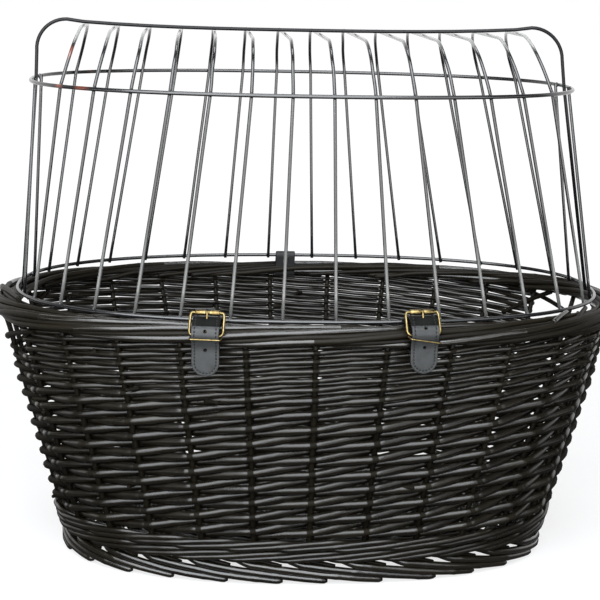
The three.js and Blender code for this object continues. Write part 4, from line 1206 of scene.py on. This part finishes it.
def make_buckle(side, strap):
    heel_up = strap.sizes["heel_up"]
    path = [(x, HEEL_Y + a * math.sin(TILT), heel_up + a * math.cos(TILT)) for x, a in frame_outline()]
    rods = Rods(f"buckle_{side}", 12)
    rods.add(strap.place(path), BAR_RADIUS, closed=True)
    rods.build(BRASS, "basket", "brass", f"buckle_{side}_frame")

    r, neck, bore, half = ROLLER_RADIUS, ROLLER_NECK, ROLLER_BORE, ROLLER_HALF
    profile = [(bore, -half), (r - 0.25, -half), (r, -half + 0.3), (r, -1.9), (r - 0.1, -1.5), (neck, -1.2),
               (neck, 1.2), (r - 0.1, 1.5), (r, 1.9), (r, half - 0.3), (r - 0.25, half), (bore, half)]
    lathe(f"roller_{side}", strap, profile, (ROLLER_Y, strap.roller_up), f"buckle_{side}_roller",
          f"buckle_{side}_roller")

    stand = neck + SEAT + TONGUE_RADIUS
    tip = np.array([ROLLER_Y - stand * math.cos(TILT), strap.roller_up + stand * math.sin(TILT)])
    heel = np.array([HEEL_Y, heel_up])
    aim = (tip - heel) / np.linalg.norm(tip - heel)
    ring_radius = (TONGUE_EYE + bore) / 2
    root = heel + aim * ring_radius
    end = tip + aim * r / 2
    rods = Rods(f"tongue_{side}", 12)
    points = [(0, *(root + (end - root) * t)) for t in np.linspace(0, 1, 12)]
    taper = [1.0] * 9 + [0.95, 0.8, 0.45]
    rods.add(strap.place(points), [TONGUE_RADIUS * share for share in taper])
    ring = arc((HEEL_Y, heel_up), ring_radius, 0, TAU, 28)[:-1]
    for x in (-0.9, 0, 0.9):
        rods.add(strap.place([(x, *p) for p in ring]), (TONGUE_EYE - bore) / 2 + 0.1, closed=True)
    rods.build(BRASS, f"buckle_{side}_tongue", "brass", f"buckle_{side}_tongue")

    turn = math.radians(strap.sizes["keeper_turn"])
    front_y = CHAPE_FRONT - LEATHER - 2 * SEAT - KEEPER_WIRE
    deep = CHAPE_BACK + SEAT + KEEPER_WIRE - front_y
    near, far = KEEPER_CORNER, deep - KEEPER_CORNER
    cx = STRAP_HALF + 2 * SEAT + KEEPER_WIRE - KEEPER_CORNER
    line = []
    for k, centre in enumerate(((cx, near), (cx, far), (-cx, far), (-cx, near))):
        line += arc(centre, KEEPER_CORNER, math.pi / 2 * (k - 1), math.pi / 2 * k, 6)
    line += [(-cx + 2 * cx * n / 8, 0) for n in range(1, 8)]
    path = [(x * math.cos(turn), front_y + y, strap.sizes["keeper_up"] - x * math.sin(turn)) for x, y in line]
    rods = Rods(f"keeper_{side}", 10)
    rods.add(strap.place(path), KEEPER_WIRE, closed=True)
    rods.build(BRASS, f"buckle_{side}_keeper", "brass", f"buckle_{side}_keeper")


def make_straps():
    for side, sizes in STRAPS.items():
        strap = StrapFrame(sizes)
        make_tail(side, strap)
        make_chape(side, strap)
        make_buckle(side, strap)


def hull(points):
    """The outline of the points as a stretched band would lie round them."""
    points = sorted(points)

    def chain(seq):
        out = []
        for p in seq:
            while len(out) > 1 and ((out[-1][0] - out[-2][0]) * (p[1] - out[-2][1])
                                    - (out[-1][1] - out[-2][1]) * (p[0] - out[-2][0])) <= 1e-6:
                out.pop()
            out.append(p)
        return out[:-1]
    return chain(points) + chain(points[::-1])


def make_hinge():
    """A loop of leather round the lower ring at the back and, under the outer strands, round the border."""
    grow = SEAT + LEATHER / 2
    points = []
    for k in range(48):
        c, s = math.cos(TAU * k / 48), math.sin(TAU * k / 48)
        points.append((RIM_HALF[1] + (RIM_HALF_WIDE - HINGE_TUCK + grow) * signed_power(c, 2 / 3),
                       rim_mid_z(RIM_HALF[1]) + (RIM_HALF_TALL - HINGE_TUCK + grow) * signed_power(s, 2 / 3)))
        points.append((LOWER_HALF[1] + (RING_WIRE + grow) * c, LOWER_RING_Z + (RING_WIRE + grow) * s))
    outline = hull(points)
    line = even_line(outline + outline[:1], 1.2)[:-1]
    count = len(line)
    edges = [(-1.0, 0.35), (-0.94, 0.9), (-0.86, 1.0), (-0.5, 1.0), (0, 1.0),
             (0.5, 1.0), (0.86, 1.0), (0.94, 0.9), (1.0, 0.35)]
    section = edges + [(x, -d) for x, d in edges[::-1]]
    vertices = []
    for i in range(count):
        tangent = line[(i + 1) % count] - line[i - 1]
        tangent /= np.linalg.norm(tangent)
        normal = np.array([tangent[1], -tangent[0]])
        for x, d in section:
            y, z = line[i] + normal * d * LEATHER / 2
            vertices.append((HINGE_X + x * HINGE_HALF, y, z))
    faces = tube_faces(count, len(section), closed=True)
    finish_piece("hinge_loop", plain_mesh("hinge_loop", vertices, faces), LEATHER_EDGE, "basket",
                 ["hinge_strap"])


# Surroundings

def make_floor():
    """A pale floor that keeps the shadow.

    Away from the object it is as white as the backdrop. Reflections show it white behind the object,
    dim close in front of it and bright farther off."""
    size = 12.0
    corners = [(-size, -size, 0), (size, -size, 0), (size, size, 0), (-size, size, 0)]
    mesh = bpy.data.meshes.new("floor")
    mesh.from_pydata(corners, [], [(0, 1, 2, 3)])
    floor = bpy.data.objects.new("floor", mesh)
    bpy.context.scene.collection.objects.link(floor)
    material = bpy.data.materials.new("pale_floor")
    material.use_nodes = True
    tree = material.node_tree
    tree.nodes.clear()
    matte = add_node(tree, "BsdfDiffuse", {"Color": (0.3, 0.3, 0.3, 1)})[0]
    place = add_node(tree, "TexCoord")["Object"]
    distance = add_node(tree, "VectorMath", {0: place}, operation="LENGTH")["Value"]
    glow = add_range(tree, distance, (0.5, 2.2), (0.74, 1.0), "SMOOTHSTEP")
    depth = add_node(tree, "SeparateXYZ", {"Vector": place})["Y"]
    behind = add_range(tree, depth, (0.0, 0.6), (0.08, 1.0), "SMOOTHSTEP")
    front = add_range(tree, depth, (-1.0, -0.5), (2.6, 0.0), "SMOOTHSTEP")
    level = add_math(tree, "MAXIMUM", behind, front)
    seen, mirrored, dark = (add_node(tree, "Emission", {"Strength": s})[0] for s in (glow, level, 0.0))
    rays = add_node(tree, "LightPath")
    direct = add_node(tree, "MixShader", {0: rays["Is Camera Ray"], 1: dark, 2: seen})[0]
    lit = add_node(tree, "AddShader", {0: matte, 1: direct})[0]
    total = add_node(tree, "MixShader", {0: rays["Is Glossy Ray"], 1: lit, 2: mirrored})[0]
    add_node(tree, "OutputMaterial", {"Surface": total})
    mesh.materials.append(material)


def make_world():
    """White to the camera; to reflections white behind the object, and dim where the room is in front."""
    world = bpy.data.worlds.new("studio")
    bpy.context.scene.world = world
    world.use_nodes = True
    tree = world.node_tree
    tree.nodes.clear()
    direction = add_node(tree, "TexCoord")["Generated"]
    axes = add_node(tree, "SeparateXYZ", {"Vector": direction})
    behind = add_range(tree, axes["Y"], (-0.15, 0.35), (0.06, 1.0), "SMOOTHSTEP")
    ceiling = add_range(tree, axes["Z"], (0.35, 0.75), (1.0, 0.1), "SMOOTHSTEP")
    level = add_math(tree, "MULTIPLY", behind, ceiling)
    plain = {"Color": (1, 1, 1, 1)}
    white, dim, room = (add_node(tree, "Background", {**plain, "Strength": s})[0] for s in (1.0, 0.1, level))
    rays = add_node(tree, "LightPath")
    mirrored = add_node(tree, "MixShader", {0: rays["Is Glossy Ray"], 1: dim, 2: room})[0]
    seen = add_node(tree, "MixShader", {0: rays["Is Camera Ray"], 1: mirrored, 2: white})[0]
    add_node(tree, "OutputWorld", {"Surface": seen})


def area_light(name, place, target, size, power):
    light = bpy.data.lights.new(name, "AREA")
    light.shape = "RECTANGLE"
    light.size, light.size_y = size
    light.energy = power
    light.color = (0.93, 0.965, 1.0)
    lamp = bpy.data.objects.new(name, light)
    lamp.location = place
    aim = Vector(target) - Vector(place)
    lamp.rotation_euler = aim.to_track_quat("-Z", "Y").to_euler()
    bpy.context.scene.collection.objects.link(lamp)


def make_lights():
    area_light("softbox", (-0.37, -1.3, 1.2), (0, 0, 0.2), (2.2, 2.2), 74)
    area_light("weaker_softbox", (0.9, -1.05, 1.2), (0, 0, 0.2), (0.8, 2.0), 7)
    area_light("top_light", (0, 0.2, 2.2), (0, 0, 0.2), (1.1, 0.5), 9)


def make_camera():
    """The photograph's camera: its place in metres, its turns in degrees and its focal length in pixels."""
    place = (-0.098, -1.4238 + SHIFT_Y * MM, 0.5344)
    yaw, pitch, roll = (math.radians(a) for a in (-3.677, 12.01, 1.225))
    focal, picture = 1568.8, 600
    camera = bpy.data.cameras.new("camera")
    camera.sensor_width = 36.0
    camera.lens = focal / picture * camera.sensor_width
    eye = bpy.data.objects.new("camera", camera)
    forward = Vector((-math.sin(yaw) * math.cos(pitch), math.cos(yaw) * math.cos(pitch), -math.sin(pitch)))
    level = Vector((math.cos(yaw), math.sin(yaw), 0))
    upright = level.cross(forward)
    right = math.cos(roll) * level + math.sin(roll) * upright
    up = -math.sin(roll) * level + math.cos(roll) * upright
    rows = [(*axes, at) for *axes, at in zip(right, up, -forward, place)]
    eye.matrix_world = Matrix(rows + [(0, 0, 0, 1)])
    bpy.context.scene.collection.objects.link(eye)
    bpy.context.scene.camera = eye


make_willow()
make_cage()
make_straps()
make_hinge()
make_floor()
make_world()
make_lights()
make_camera()
bpy.context.scene.view_settings.view_transform = "Standard"

bpy.context.view_layer.update()
